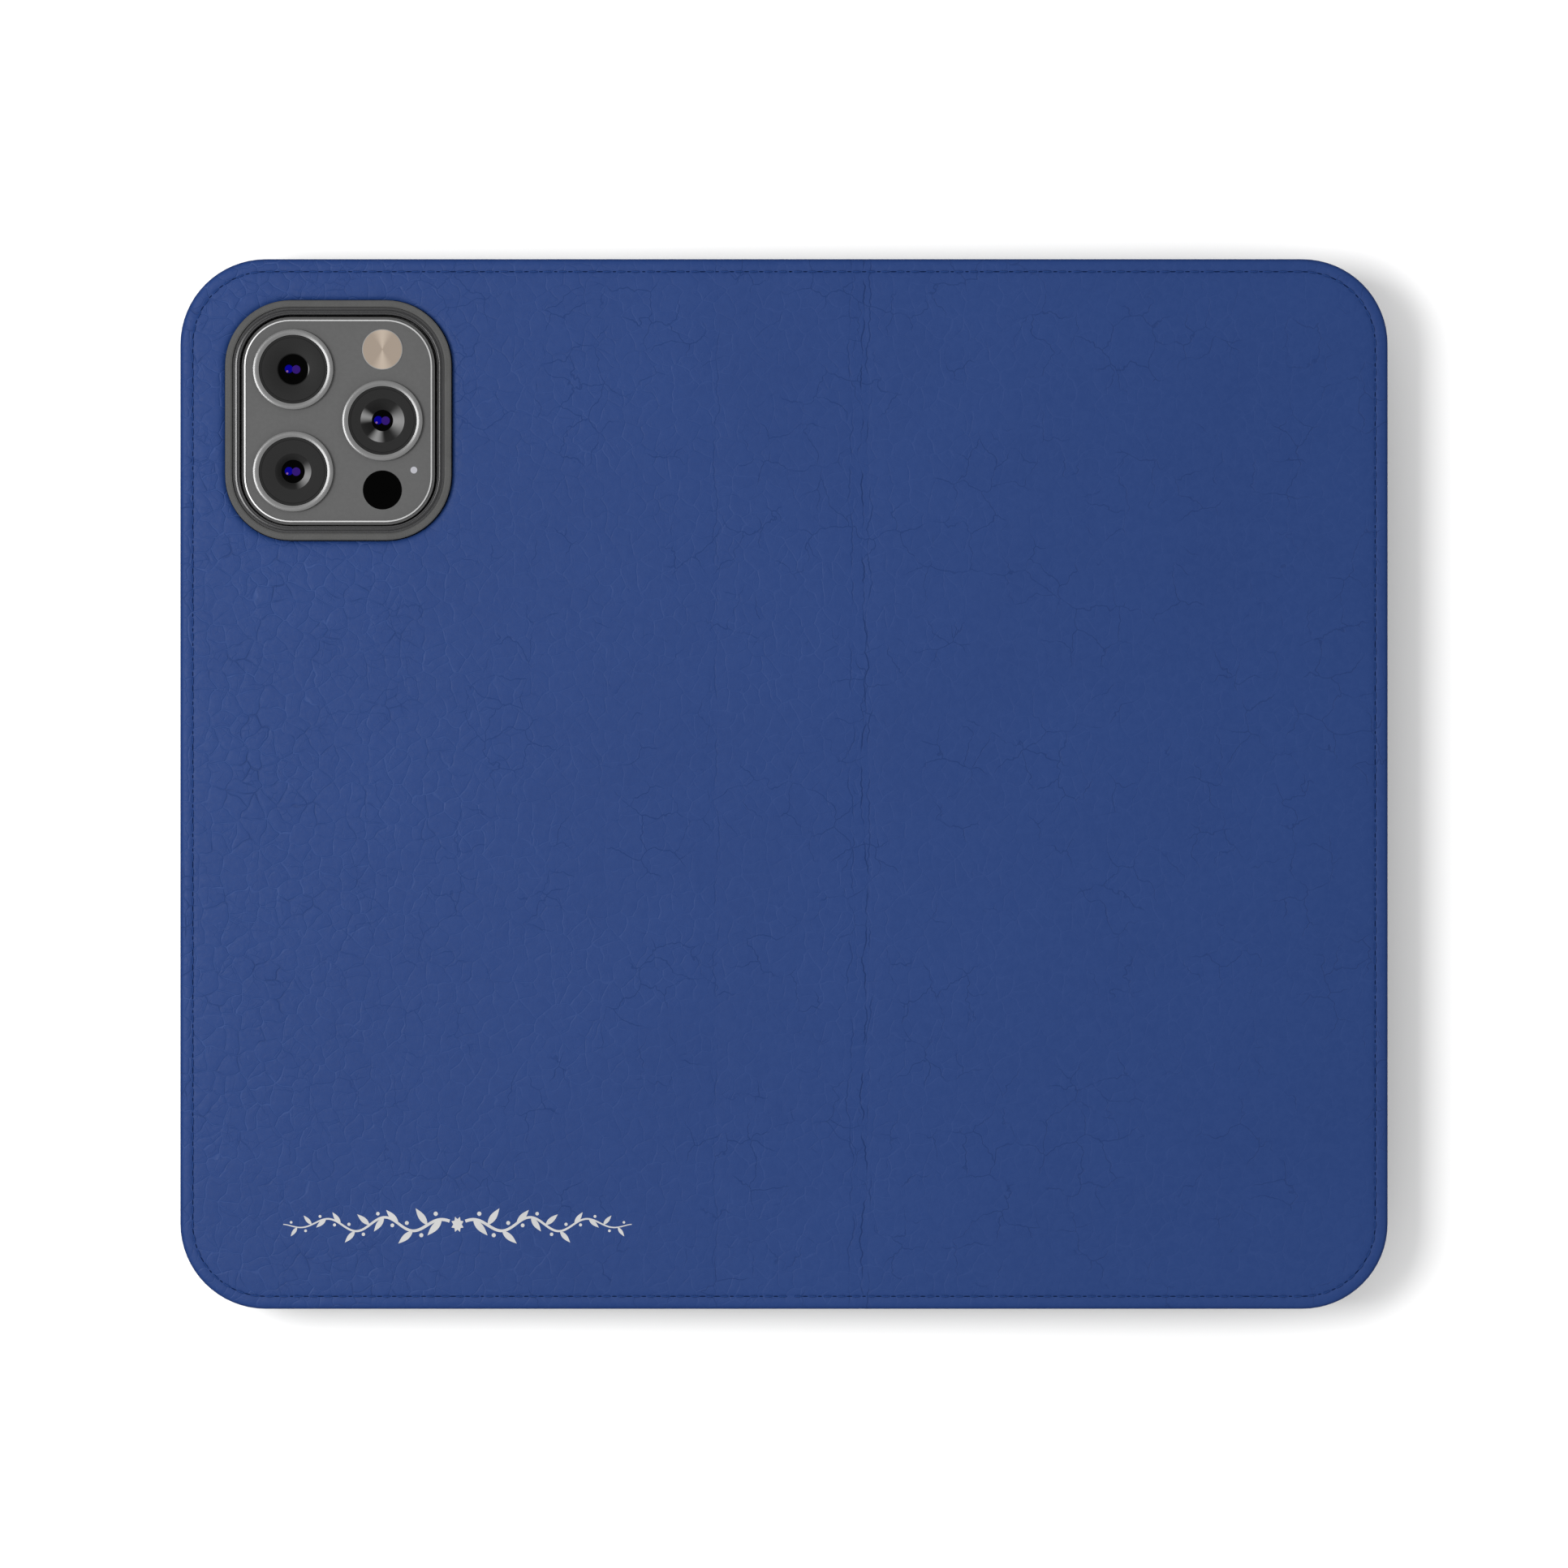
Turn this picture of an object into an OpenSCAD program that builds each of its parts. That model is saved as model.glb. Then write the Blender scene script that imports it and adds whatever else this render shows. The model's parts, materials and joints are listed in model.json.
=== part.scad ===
// Phone wallet case: a book-style leather cover around a snap-in phone tray.
// It lies open and flat with its outside up. X runs from the back panel across
// the spine to the front cover, Y towards the top of the phone, Z up.
// The origin is the middle of the open case, on the table.

/* [Phone] */
// Width of the phone that the tray holds
phone_w = 71.5; // [69:0.5:74]
// Height of the phone that the tray holds
phone_h = 146.7; // [144:0.1:150]
// Thickness of the phone that the tray holds
phone_t = 7.4; // [7:0.1:8.2]

/* [Leather cover] */
// Margin of the cover round the phone, top and bottom
cover_margin = 3.2; // [2.8:0.1:6]
// Radius of the cover's four corners
corner_r = 12.4; // [8:0.2:14]
// How much narrower the front cover is than the back panel
cover_setback = 1.9; // [0.5:0.1:4]
// Thickness of the faux leather
skin_t = 0.9; // [0.7:0.1:1.1]
// Thickness of the stiffening boards
board_t = 0.8; // [0.7:0.1:1.2]
// Thickness of the inner lining
lining_t = 0.5; // [0.4:0.1:0.7]
// Distance of the stitching from the edge
stitch_inset = 1.85; // [1.5:0.05:3]

/* [Phone tray] */
// Wall of the hard outer shell
shell_wall = 0.6; // [0.5:0.1:0.8]
// Back of the hard outer shell
shell_back = 1.0; // [0.8:0.1:1.4]
// Wall of the soft liner
liner_wall = 0.8; // [0.8:0.1:1]
// Floor of the soft liner
liner_floor = 0.6; // [0.5:0.1:1]
// Height of the lip that stands above the screen
lip_t = 1.0; // [0.8:0.1:1.2]
// How far the lip reaches over the screen
lip_reach = 1.2; // [0.8:0.1:1.5]

/* [Camera window] */
// Clear width of the window
window_w = 28.9; // [20:0.1:29.5]
// Clear height of the window
window_h = 30.9; // [20:0.1:32]
// Height of the outer collar over the leather
collar_rise = 0.7; // [0.3:0.1:1]

/* [Card pockets] */
// Width of a card
card_w = 54; // [54:0.5:56]
// Room for the thickness of a card
card_gap = 0.9; // [0.8:0.05:1.1]
// Depth of each card slot
slot_depth = 80; // [70:1:84]
// Step from one card slot to the next
slot_step = 14; // [10:1:16]

/* [Hidden] */
$fn = 96;

// Colours
leather_blue = [0.19, 0.28, 0.51];
thread_blue = [0.10, 0.15, 0.36];
lining_grey = [0.20, 0.20, 0.21];
board_grey = [0.62, 0.60, 0.55];
shell_grey = [0.33, 0.33, 0.33];
liner_grey = [0.20, 0.20, 0.20];
metal_grey = [0.70, 0.70, 0.72];

// Tray sizes
phone_play = 0.1;
tray_wall = shell_wall + liner_wall;
tray_w = phone_w + 2 * (phone_play + tray_wall);
tray_h = phone_h + 2 * (phone_play + tray_wall);
tray_r = 11.5;
rim_t = 1.2;
adhesive_t = 0.2;
adhesive_inset = 4;

// Heights above the table
floor_z = lip_t + phone_t + phone_play;
liner_z = floor_z + liner_floor;
shell_z = liner_z + shell_back;
inner_z = shell_z + adhesive_t;
board_z = inner_z + lining_t;
skin_z = board_z + board_t;
outer_z = skin_z + skin_t;
panel_t = outer_z - inner_z;
through = 20;

// Card pocket stack, hanging below the cover's inner face
cash_gap = 0.8;
cash_t = 0.6;
slot_t = 0.5;
slot_count = 3;
stack_t = cash_gap + cash_t + slot_count * (card_gap + slot_t);
closing_gap = 1.7;

// Panel widths, from the free edge of the back to the free edge of the cover
side_gap = 0.8;
tray_gap = 2.7;
back_w = side_gap + tray_w + tray_gap;
spine_w = panel_t + inner_z + closing_gap + stack_t + panel_t;
cover_w = back_w - cover_setback;
case_w = back_w + spine_w + cover_w;
case_h = phone_h + 2 * cover_margin;
left_x = -case_w / 2;
right_x = case_w / 2;
back_crease_x = left_x + back_w;
cover_crease_x = back_crease_x + spine_w;

// Half the width of a crease, where no board stiffens the leather
crease_half = 2.3;
hinge_t = skin_t + lining_t;
hinge_play = 0.3;

// Stitching
thread_w = 0.4;
thread_t = 0.2;

// Camera window and its two collars
tray_x = left_x + side_gap + tray_w / 2;
window_x = tray_x - 14.95;
window_y = 53;
window_r = 7.5;
liner_collar_wall = 1.0;
collar_play = 0.05;
shell_collar_wall = 0.95;
liner_collar_rise = collar_rise - 0.4;
liner_collar_grow = liner_collar_wall;
shell_bore_grow = liner_collar_grow + collar_play;
shell_collar_grow = shell_bore_grow + shell_collar_wall;
leather_hole_grow = shell_collar_grow + 0.15;
board_hole_grow = shell_collar_grow + 0.4;

// Buttons, ports and the closure strip, on the tray's walls
wall_left_x = tray_x - tray_w / 2;
wall_right_x = tray_x + tray_w / 2;
wall_bottom_y = -tray_h / 2;
side_z = lip_t + phone_t / 2;
volume_len = 10.5;
volume_up_y = 30;
volume_down_y = 16.5;
side_button_len = 17;
side_button_y = 25;
cap_h = 2.8;
cap_play = 0.15;
cap_proud = 0.5;
flange_t = 0.4;
flange_grow = 0.7;
mute_y = 44;
mute_len = 9;
mute_h = 4.8;
port_len = 14;
port_h = 5.6;
speaker_len = 12;
speaker_h = 2.6;
speaker_x = 19.5;
strip_len = 60;
strip_h = 4;
strip_t = 0.4;
strip_y = -25;
strip_base_z = rim_t + 0.4;

// Closure magnets, let into the front cover's board
magnet_len = 18;
magnet_w = 4;
magnet_t = board_t - 0.1;
magnet_step = 23;
magnet_x = right_x - 5.5;

// Card pockets
seam_w = 3;
seam_relief = 0.3;
card_play = 2.5;
slot_w = card_w + 2 * (card_play + seam_w);
pocket_left_x = cover_crease_x + crease_half + 1;
pocket_right_x = right_x - 1.6;
pocket_x = (pocket_left_x + pocket_right_x) / 2;
pocket_r = corner_r - 2.5;
cash_z = inner_z - cash_gap;
slot_left_x = pocket_x - slot_w / 2;
pocket_top_y = case_h / 2 - 2.9;
slot_top_y = 48;
slot_foot_y = slot_top_y - (slot_count - 1) * slot_step - slot_depth - seam_w;
seam_line = 1.2;

// A rectangle with four round corners, centred on the origin
module rounded(w, h, r) {
    square([w - 2 * r, h], center = true);
    square([w, h - 2 * r], center = true);
    for (sx = [-1, 1], sy = [-1, 1])
        translate([sx * (w / 2 - r), sy * (h / 2 - r)]) circle(r);
}

// A flat shape between two heights
module slab(z0, z1) {
    translate([0, 0, z0]) linear_extrude(z1 - z0) children();
}

// The outline of the open case, moved inwards by inset
module case_outline(inset) {
    rounded(case_w - 2 * inset, case_h - 2 * inset, corner_r - inset);
}

// The part of a flat shape between two places along the case
module between(x0, x1) {
    intersection() {
        children();
        translate([x0, -case_h]) square([x1 - x0, 2 * case_h]);
    }
}

// One layer of the cover between two places along the case
module layer(x0, x1, inset, z0, z1) {
    slab(z0, z1) between(x0, x1) case_outline(inset);
}

// The camera window, made larger all round by grow
module window(grow, z0, z1) {
    translate([window_x, window_y, 0]) slab(z0, z1)
        rounded(window_w + 2 * grow, window_h + 2 * grow, window_r + grow);
}

// The tray's outline, moved inwards by inset
module tray_slab(inset, z0, z1) {
    translate([tray_x, 0, 0]) slab(z0, z1)
        rounded(tray_w - 2 * inset, tray_h - 2 * inset, tray_r - inset);
}

// One run of thread that follows the case's edge
module thread_run(x0, x1, z0) {
    slab(z0, z0 + thread_t) between(x0, x1) difference() {
        case_outline(stitch_inset - thread_w / 2);
        case_outline(stitch_inset + thread_w / 2);
    }
}

// Both runs of a panel's lock stitch: on the leather and on the lining
module lock_stitch(x0, x1) {
    color(thread_blue) {
        thread_run(x0, x1, outer_z - thread_t);
        thread_run(x0, x1, inner_z);
    }
}

// Faux leather with its edge turned down past the board and lining
module leather(x0, x1) {
    color(leather_blue) difference() {
        layer(x0, x1, 0, inner_z, outer_z);
        layer(x0 - crease_half, x1 + crease_half, skin_t, inner_z - 1, skin_z);
        thread_run(x0, x1, outer_z - thread_t);
    }
}

module board(x0, x1) {
    color(board_grey) layer(x0, x1, skin_t, board_z, skin_z);
}

module lining(x0, x1) {
    color(lining_grey) difference() {
        layer(x0, x1, skin_t, inner_z, board_z);
        thread_run(x0, x1, inner_z);
    }
}

// Leather and lining bonded together with no board between: a living hinge.
// It is fixed to the panel on one side, and just clear of the spine on the other.
module hinge_strip(x0, x1) {
    color(leather_blue) layer(x0, x1, 0, outer_z - hinge_t, outer_z);
}

module back_leather() {
    difference() {
        leather(left_x, back_crease_x - crease_half);
        window(leather_hole_grow, 0, through);
    }
}

module back_board() {
    difference() {
        board(left_x, back_crease_x - crease_half);
        window(board_hole_grow, 0, through);
    }
}

module back_lining() {
    difference() {
        lining(left_x, back_crease_x - crease_half);
        window(board_hole_grow, 0, through);
    }
}

module back_stitching() lock_stitch(left_x, back_crease_x - crease_half);

module spine_leather() leather(back_crease_x + crease_half, cover_crease_x - crease_half);
module spine_board() board(back_crease_x + crease_half, cover_crease_x - crease_half);
module spine_lining() lining(back_crease_x + crease_half, cover_crease_x - crease_half);
module spine_stitching() lock_stitch(back_crease_x + crease_half, cover_crease_x - crease_half);

module cover_leather() leather(cover_crease_x + crease_half, right_x);
module cover_lining() lining(cover_crease_x + crease_half, right_x);
module cover_stitching() lock_stitch(cover_crease_x + crease_half, right_x);

module cover_board() {
    difference() {
        board(cover_crease_x + crease_half, right_x);
        magnet_bars(0.1, board_z - 1, skin_z + 1);
    }
}

module back_hinge_strip() {
    hinge_strip(back_crease_x - crease_half, back_crease_x + crease_half - hinge_play);
}

module cover_hinge_strip() {
    hinge_strip(cover_crease_x - crease_half + hinge_play, cover_crease_x + crease_half);
}

// A row of magnets, or the windows that they sit in when grow is more than 0
module magnet_bars(grow, z0, z1) {
    for (i = [-1, 0, 1])
        translate([magnet_x, strip_y + i * magnet_step, 0]) slab(z0, z1)
            square([magnet_w + 2 * grow, magnet_len + 2 * grow], center = true);
}

module closure_magnets() {
    color(metal_grey) magnet_bars(0, board_z, board_z + magnet_t);
}

// A bar through a wall that faces X, with rounded ends; its length runs along Y
module side_slot(x0, x1, y, len, h) {
    translate([x0, y, side_z]) rotate([90, 0, 90])
        linear_extrude(x1 - x0) rounded(len, h, h * 0.45);
}

// The same through the bottom wall, with its length along X
module bottom_slot(x, len, h) {
    translate([x, wall_bottom_y + 2 * tray_wall, side_z]) rotate([90, 0, 0])
        linear_extrude(4 * tray_wall) rounded(len, h, h * 0.45);
}

// The openings that go through shell and liner alike
module tray_openings() {
    side_slot(wall_right_x - 2 * tray_wall, wall_right_x + 1, mute_y, mute_len, mute_h);
    bottom_slot(tray_x, port_len, port_h);
    for (side = [-1, 1])
        bottom_slot(tray_x + side * speaker_x, speaker_len, speaker_h);
}

// Calls its child once for each button, facing +X at the wall's outer face
module at_button(side, y) {
    translate([side > 0 ? wall_right_x : wall_left_x, y, 0]) mirror([side > 0 ? 0 : 1, 0, 0])
        children();
}

// A bar that runs from x0 to x1, measured outwards from the wall's outer face
module button_bar(x0, x1, len, h) side_slot(x0, x1, 0, len, h);

// The slot in the hard shell that a button cap stands out of
module cap_slot(len) {
    button_bar(-shell_wall - 0.5, 1, len + 2 * cap_play, cap_h + 2 * cap_play);
}

// The pocket in the liner that the cap's flange moves in
module flange_pocket(len) {
    grow = 2 * (flange_grow + cap_play);
    button_bar(-2 * tray_wall, -shell_wall, len + grow, cap_h + grow);
}

// A button cap: a flange behind the shell and a stem out through its slot
module button_cap(len) {
    color(liner_grey) {
        button_bar(-shell_wall - flange_t, -shell_wall, len + 2 * flange_grow, cap_h + 2 * flange_grow);
        button_bar(-shell_wall - flange_t / 2, cap_proud, len, cap_h);
    }
}

module volume_up_cap() at_button(1, volume_up_y) button_cap(volume_len);
module volume_down_cap() at_button(1, volume_down_y) button_cap(volume_len);
module side_button_cap() at_button(-1, side_button_y) button_cap(side_button_len);

module tray_adhesive() {
    color([0.85, 0.85, 0.85]) difference() {
        tray_slab(adhesive_inset, shell_z, inner_z);
        window(board_hole_grow, 0, through);
    }
}

// Hard shell: back, side walls and the outer camera collar
module tray_shell() {
    color(shell_grey) difference() {
        union() {
            tray_slab(0, rim_t, shell_z);
            window(shell_collar_grow, shell_z - 0.5, outer_z + collar_rise);
        }
        tray_slab(shell_wall, rim_t - 1, liner_z);
        window(shell_bore_grow, 0, through);
        tray_openings();
        at_button(1, volume_up_y) cap_slot(volume_len);
        at_button(1, volume_down_y) cap_slot(volume_len);
        at_button(-1, side_button_y) cap_slot(side_button_len);
    }
}

// Soft liner: floor, walls, the lip over the screen and the inner camera collar
module tray_liner() {
    color(liner_grey) difference() {
        union() {
            tray_slab(shell_wall, 0, liner_z);
            tray_slab(0, 0, rim_t);
            window(liner_collar_grow, liner_z - 0.3, outer_z + liner_collar_rise);
        }
        tray_slab(tray_wall, lip_t, floor_z);
        tray_slab(tray_wall + lip_reach, -1, lip_t + 1);
        window(0, 0, through);
        tray_openings();
        at_button(1, volume_up_y) flange_pocket(volume_len);
        at_button(1, volume_down_y) flange_pocket(volume_len);
        at_button(-1, side_button_y) flange_pocket(side_button_len);
        strip_bar(0.5);
    }
}

// The steel strip, or its seat in the liner's outer face when extra is more than 0
module strip_bar(extra) {
    translate([wall_left_x + shell_wall - extra, strip_y - strip_len / 2, strip_base_z])
        cube([strip_t + extra, strip_len, strip_h]);
}

module closure_strip() {
    color(metal_grey) strip_bar(0);
}

// Wide pocket behind the card slots, open towards the spine
module cash_pocket_panel() {
    color(lining_grey) slab(cash_z - cash_t, cash_z) pocket_outline();
}

// The cash pocket's outline: straight towards the spine, round at the free side
module pocket_outline() {
    wide = pocket_right_x - pocket_left_x;
    intersection() {
        translate([pocket_left_x, 0]) rounded(2 * wide, 2 * pocket_top_y, pocket_r);
        translate([pocket_left_x, -case_h]) square([wide, 2 * case_h]);
    }
}

// A folded seam between two layers, as a bar with one corner at x, y
module seam_bar(x, y, len_x, len_y, z0, z1) {
    translate([x, y, z0]) cube([len_x, len_y, z1 - z0]);
}

// The cash pocket's seams: top, bottom and free side
module cash_pocket_seams() {
    run = pocket_right_x - pocket_r - pocket_left_x;
    color(lining_grey) {
        for (y = [pocket_top_y - seam_w, -pocket_top_y])
            seam_bar(pocket_left_x, y, run, seam_w, cash_z, inner_z);
        seam_bar(pocket_right_x - seam_w, pocket_r - pocket_top_y, seam_w,
            2 * (pocket_top_y - pocket_r), cash_z, inner_z);
    }
}

function slot_front_z(i) = cash_z - cash_t - (i + 1) * (card_gap + slot_t);
function slot_y(i) = slot_top_y - i * slot_step;

// The face of card slot number i
module card_slot(i) {
    color(lining_grey) translate([slot_left_x, slot_foot_y, slot_front_z(i)])
        cube([slot_w, slot_y(i) - slot_foot_y, slot_t]);
}

module card_slot_upper() card_slot(0);
module card_slot_middle() card_slot(1);
module card_slot_lower() card_slot(2);

// The card slots' seams: two sides and a foot behind each face
module card_slot_seams() {
    color(lining_grey) for (i = [0:slot_count - 1]) {
        z0 = slot_front_z(i) + slot_t;
        floor_y = slot_y(i) - slot_depth;
        for (x = [slot_left_x, slot_left_x + slot_w - seam_w])
            seam_bar(x, floor_y + seam_relief, seam_w, slot_depth - seam_relief, z0, z0 + card_gap);
        seam_bar(slot_left_x, slot_foot_y, slot_w, floor_y - slot_foot_y, z0, z0 + card_gap);
    }
}

// Thread down both sides of the card slots and along their foot
module pocket_stitching() {
    line_x = slot_w / 2 - seam_line;
    color(thread_blue) {
        for (i = [0:slot_count - 1], side = [-1, 1]) {
            foot_y = i < slot_count - 1 ? slot_y(i + 1) : slot_foot_y + seam_line;
            translate([pocket_x + side * line_x - thread_w / 2, foot_y, slot_front_z(i) - thread_t])
                cube([thread_w, slot_y(i) - foot_y - seam_line, thread_t]);
        }
        translate([pocket_x - line_x + thread_w / 2, slot_foot_y + seam_line, slot_front_z(slot_count - 1) - thread_t])
            cube([2 * line_x - thread_w, thread_w, thread_t]);
    }
}

back_leather();
back_board();
back_lining();
back_stitching();
spine_leather();
spine_board();
spine_lining();
spine_stitching();
cover_leather();
cover_board();
cover_lining();
cover_stitching();
back_hinge_strip();
cover_hinge_strip();
tray_adhesive();
tray_shell();
tray_liner();
closure_strip();
volume_up_cap();
volume_down_cap();
side_button_cap();
cash_pocket_panel();
cash_pocket_seams();
card_slot_upper();
card_slot_middle();
card_slot_lower();
card_slot_seams();
pocket_stitching();
closure_magnets();
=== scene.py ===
import json  # noqa: E402
import math  # noqa: E402
import random  # noqa: E402

import bmesh  # noqa: E402
import bpy  # noqa: E402
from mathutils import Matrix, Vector, geometry, noise  # noqa: E402


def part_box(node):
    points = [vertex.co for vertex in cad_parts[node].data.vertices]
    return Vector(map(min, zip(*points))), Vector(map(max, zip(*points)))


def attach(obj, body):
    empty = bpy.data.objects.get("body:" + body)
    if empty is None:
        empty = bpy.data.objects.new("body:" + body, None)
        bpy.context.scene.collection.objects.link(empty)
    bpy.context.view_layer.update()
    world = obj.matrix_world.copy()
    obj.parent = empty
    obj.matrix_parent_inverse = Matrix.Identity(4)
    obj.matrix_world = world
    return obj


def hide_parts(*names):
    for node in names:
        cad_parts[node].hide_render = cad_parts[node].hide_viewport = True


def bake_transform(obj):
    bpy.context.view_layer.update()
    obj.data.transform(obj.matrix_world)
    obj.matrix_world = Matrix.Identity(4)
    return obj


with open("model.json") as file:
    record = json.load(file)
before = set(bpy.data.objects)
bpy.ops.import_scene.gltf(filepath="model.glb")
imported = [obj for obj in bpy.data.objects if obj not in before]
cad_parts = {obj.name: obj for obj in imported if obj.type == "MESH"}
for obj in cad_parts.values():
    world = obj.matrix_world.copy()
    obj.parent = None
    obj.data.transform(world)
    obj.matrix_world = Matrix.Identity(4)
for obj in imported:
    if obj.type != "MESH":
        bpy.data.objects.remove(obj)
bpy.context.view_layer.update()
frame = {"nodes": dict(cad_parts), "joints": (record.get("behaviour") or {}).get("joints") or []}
MM = 0.001
random.seed(7)

# ---------------------------------------------------------------- places, in mm


def box_mm(node):
    lo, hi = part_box(node)
    return lo / MM, hi / MM


back_lo, back_hi = box_mm("back_leather")
cover_lo, cover_hi = box_mm("cover_leather")
LEFT, RIGHT = back_lo.x, cover_hi.x
CASE_X = (LEFT + RIGHT) / 2
HALF_W, HALF_H = (RIGHT - LEFT) / 2, back_hi.y
INNER_Z, OUTER_Z = cover_lo.z, cover_hi.z
LINING_T = box_mm("cover_lining")[1].z - INNER_Z
SKIN_T = OUTER_Z - box_mm("cover_board")[1].z
folds = {j["name"]: [c / MM for c in j["pos_m"]] for j in frame["joints"] if j["type"] == "hinge"}
CREASE = [folds["spine_fold"][0], folds["cover_fold"][0]]
CREASE_HALF = CREASE[0] - back_hi.x
SPLIT = (CREASE[0] + CREASE[1]) / 2
tray_lo, tray_hi = box_mm("tray_liner")
TRAY_X = (tray_lo.x + tray_hi.x) / 2
TRAY_W, TRAY_H = tray_hi.x - tray_lo.x, tray_hi.y - tray_lo.y
# what no box tells: the corners' radii, how far in the stitching runs, the camera window, and how much
# larger all round its hole in the leather is
CORNER_R, TRAY_R = 12.4, 11.5
STITCH_D = 1.85
WIN_X, WIN_Y, WIN_W, WIN_H, WIN_R = TRAY_X - 14.95, 53.0, 28.9, 30.9, 7.5
HOLE_GROW = 2.15

# ---------------------------------------------------------------- camera and light

# width of what the picture shows, at the height of the leather
FRAME_W = 228.6 * MM
KEY_PLACE, KEY_TARGET = (-0.36, 0.048, 0.62), (-0.02, 0, 0)
KEY_SIZE, KEY_POWER = 0.30, 3.57
SKY_STRENGTH = 0.85

cam_data = bpy.data.cameras.new("camera")
cam_data.type = "PERSP"
cam_data.lens = 135
cam_data.sensor_width = 36
cam = bpy.data.objects.new("camera", cam_data)
bpy.context.scene.collection.objects.link(cam)
cam.location = (0, 0, OUTER_Z * MM + FRAME_W * cam_data.lens / cam_data.sensor_width)
cam.rotation_euler = (0, 0, 0)
cam_data.clip_start, cam_data.clip_end = 0.01, 20
bpy.context.scene.camera = cam
bpy.context.scene.view_settings.view_transform = "Standard"
bpy.context.scene.view_settings.look = "None"

key_data = bpy.data.lights.new("key", "AREA")
key_data.shape = "RECTANGLE"
key_data.size, key_data.size_y = KEY_SIZE, KEY_SIZE
key_data.energy = KEY_POWER
key = bpy.data.objects.new("key", key_data)
bpy.context.scene.collection.objects.link(key)
key.location = KEY_PLACE
key.rotation_euler = (Vector(KEY_TARGET) - Vector(KEY_PLACE)).to_track_quat("-Z", "Y").to_euler()

world = bpy.data.worlds.new("studio")
world.use_nodes = True
world.node_tree.nodes["Background"].inputs["Color"].default_value = (1, 1, 1, 1)
world.node_tree.nodes["Background"].inputs["Strength"].default_value = SKY_STRENGTH
bpy.context.scene.world = world

# ---------------------------------------------------------------- material helpers


class Tree:
    """A material's node tree, with short calls for the nodes that are used here."""

    def __init__(self, name):
        self.mat = bpy.data.materials.new(name)
        self.mat.use_nodes = True
        self.tree = self.mat.node_tree
        self.bsdf = self.tree.nodes["Principled BSDF"]

    def new(self, kind, **values):
        node = self.tree.nodes.new("ShaderNode" + kind)
        for key, value in values.items():
            setattr(node, key, value)
        return node

    def put(self, socket, value):
        if isinstance(value, bpy.types.NodeSocket):
            self.tree.links.new(value, socket)
        else:
            socket.default_value = value

    def shader(self, **values):
        for key, value in values.items():
            if isinstance(value, tuple) and len(value) == 3:
                value = (*value, 1)
            self.put(self.bsdf.inputs[key.replace("_", " ")], value)
        return self.mat

    def rest(self):
        return self.new("Attribute", attribute_name="rest_mm").outputs["Vector"]

    def object_mm(self):
        co = self.new("TexCoord").outputs["Object"]
        return self.vec("MULTIPLY", co, (1000, 1000, 1000))

    def coords(self, bends):
        """Coordinates in mm: a piece of this script keeps to its rest shape, a CAD node has its own."""
        return self.rest() if bends else self.object_mm()

    def attribute(self, name):
        return self.new("Attribute", attribute_name=name).outputs["Fac"]

    def math(self, op, a, b=0.0, c=None):
        node = self.new("Math", operation=op)
        self.put(node.inputs[0], a)
        self.put(node.inputs[1], b)
        if c is not None:
            self.put(node.inputs[2], c)
        return node.outputs[0]

    def add(self, a, b):
        return self.math("ADD", a, b)

    def sub(self, a, b):
        return self.math("SUBTRACT", a, b)

    def mul(self, a, b):
        return self.math("MULTIPLY", a, b)

    def vec(self, op, a, b):
        node = self.new("VectorMath", operation=op)
        self.put(node.inputs[0], a)
        self.put(node.inputs[1], b)
        return node.outputs[0]

    def shift(self, co, dx, dy):
        return self.vec("ADD", co, (dx, dy, 0))

    def warp(self, co, scale, amount, detail):
        """Coordinates pushed about by noise, so that straight lines wander."""
        offset = self.vec("SUBTRACT", self.noise(co, scale, detail, color=True), (0.5, 0.5, 0.5))
        return self.vec("ADD", co, self.vec("MULTIPLY", offset, (amount, amount, 0)))

    def noise(self, co, scale, detail=2.0, rough=0.5, dist=0.0, color=False):
        node = self.new("TexNoise")
        self.put(node.inputs["Vector"], co)
        node.inputs["Scale"].default_value = scale
        node.inputs["Detail"].default_value = detail
        node.inputs["Roughness"].default_value = rough
        node.inputs["Distortion"].default_value = dist
        return node.outputs["Color" if color else "Fac"]

    def cells(self, co, scale):
        """How far a place is from the edge of its cell, in a net of irregular cells."""
        node = self.new("TexVoronoi", feature="DISTANCE_TO_EDGE", voronoi_dimensions="2D")
        self.put(node.inputs["Vector"], co)
        node.inputs["Scale"].default_value = scale
        return node.outputs["Distance"]

    def remap(self, value, a, b, c=0.0, d=1.0):
        """Turns a to b into c to d, with soft ends."""
        node = self.new("MapRange", interpolation_type="SMOOTHSTEP")
        self.put(node.inputs["Value"], value)
        for key, v in zip(("From Min", "From Max", "To Min", "To Max"), (a, b, c, d)):
            self.put(node.inputs[key], v)
        return node.outputs["Result"]

    def mix(self, fac, a, b):
        node = self.new("Mix", data_type="RGBA")
        for socket, value in ((node.inputs[0], fac), (node.inputs[6], a), (node.inputs[7], b)):
            if isinstance(value, tuple) and len(value) == 3:
                value = (*value, 1)
            self.put(socket, value)
        return node.outputs[2]

    def bump(self, height, distance, strength):
        node = self.new("Bump")
        node.inputs["Distance"].default_value = distance
        node.inputs["Strength"].default_value = strength
        self.put(node.inputs["Height"], height)
        return node.outputs["Normal"]

    def split(self, co):
        node = self.new("SeparateXYZ")
        self.put(node.inputs[0], co)
        return node.outputs


# ---------------------------------------------------------------- materials


def grey(v):
    return (v, v, v)


def darker(color, share):
    return tuple(v * (1 - share) for v in color)


LEATHER_LIGHT = (0.0086, 0.0326, 0.1370)
LEATHER_DARK = (0.0074, 0.0297, 0.1280)
LEATHER_DEEP = (0.0020, 0.010, 0.055)
LEATHER_PALE = (0.0230, 0.0530, 0.1750)
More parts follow.
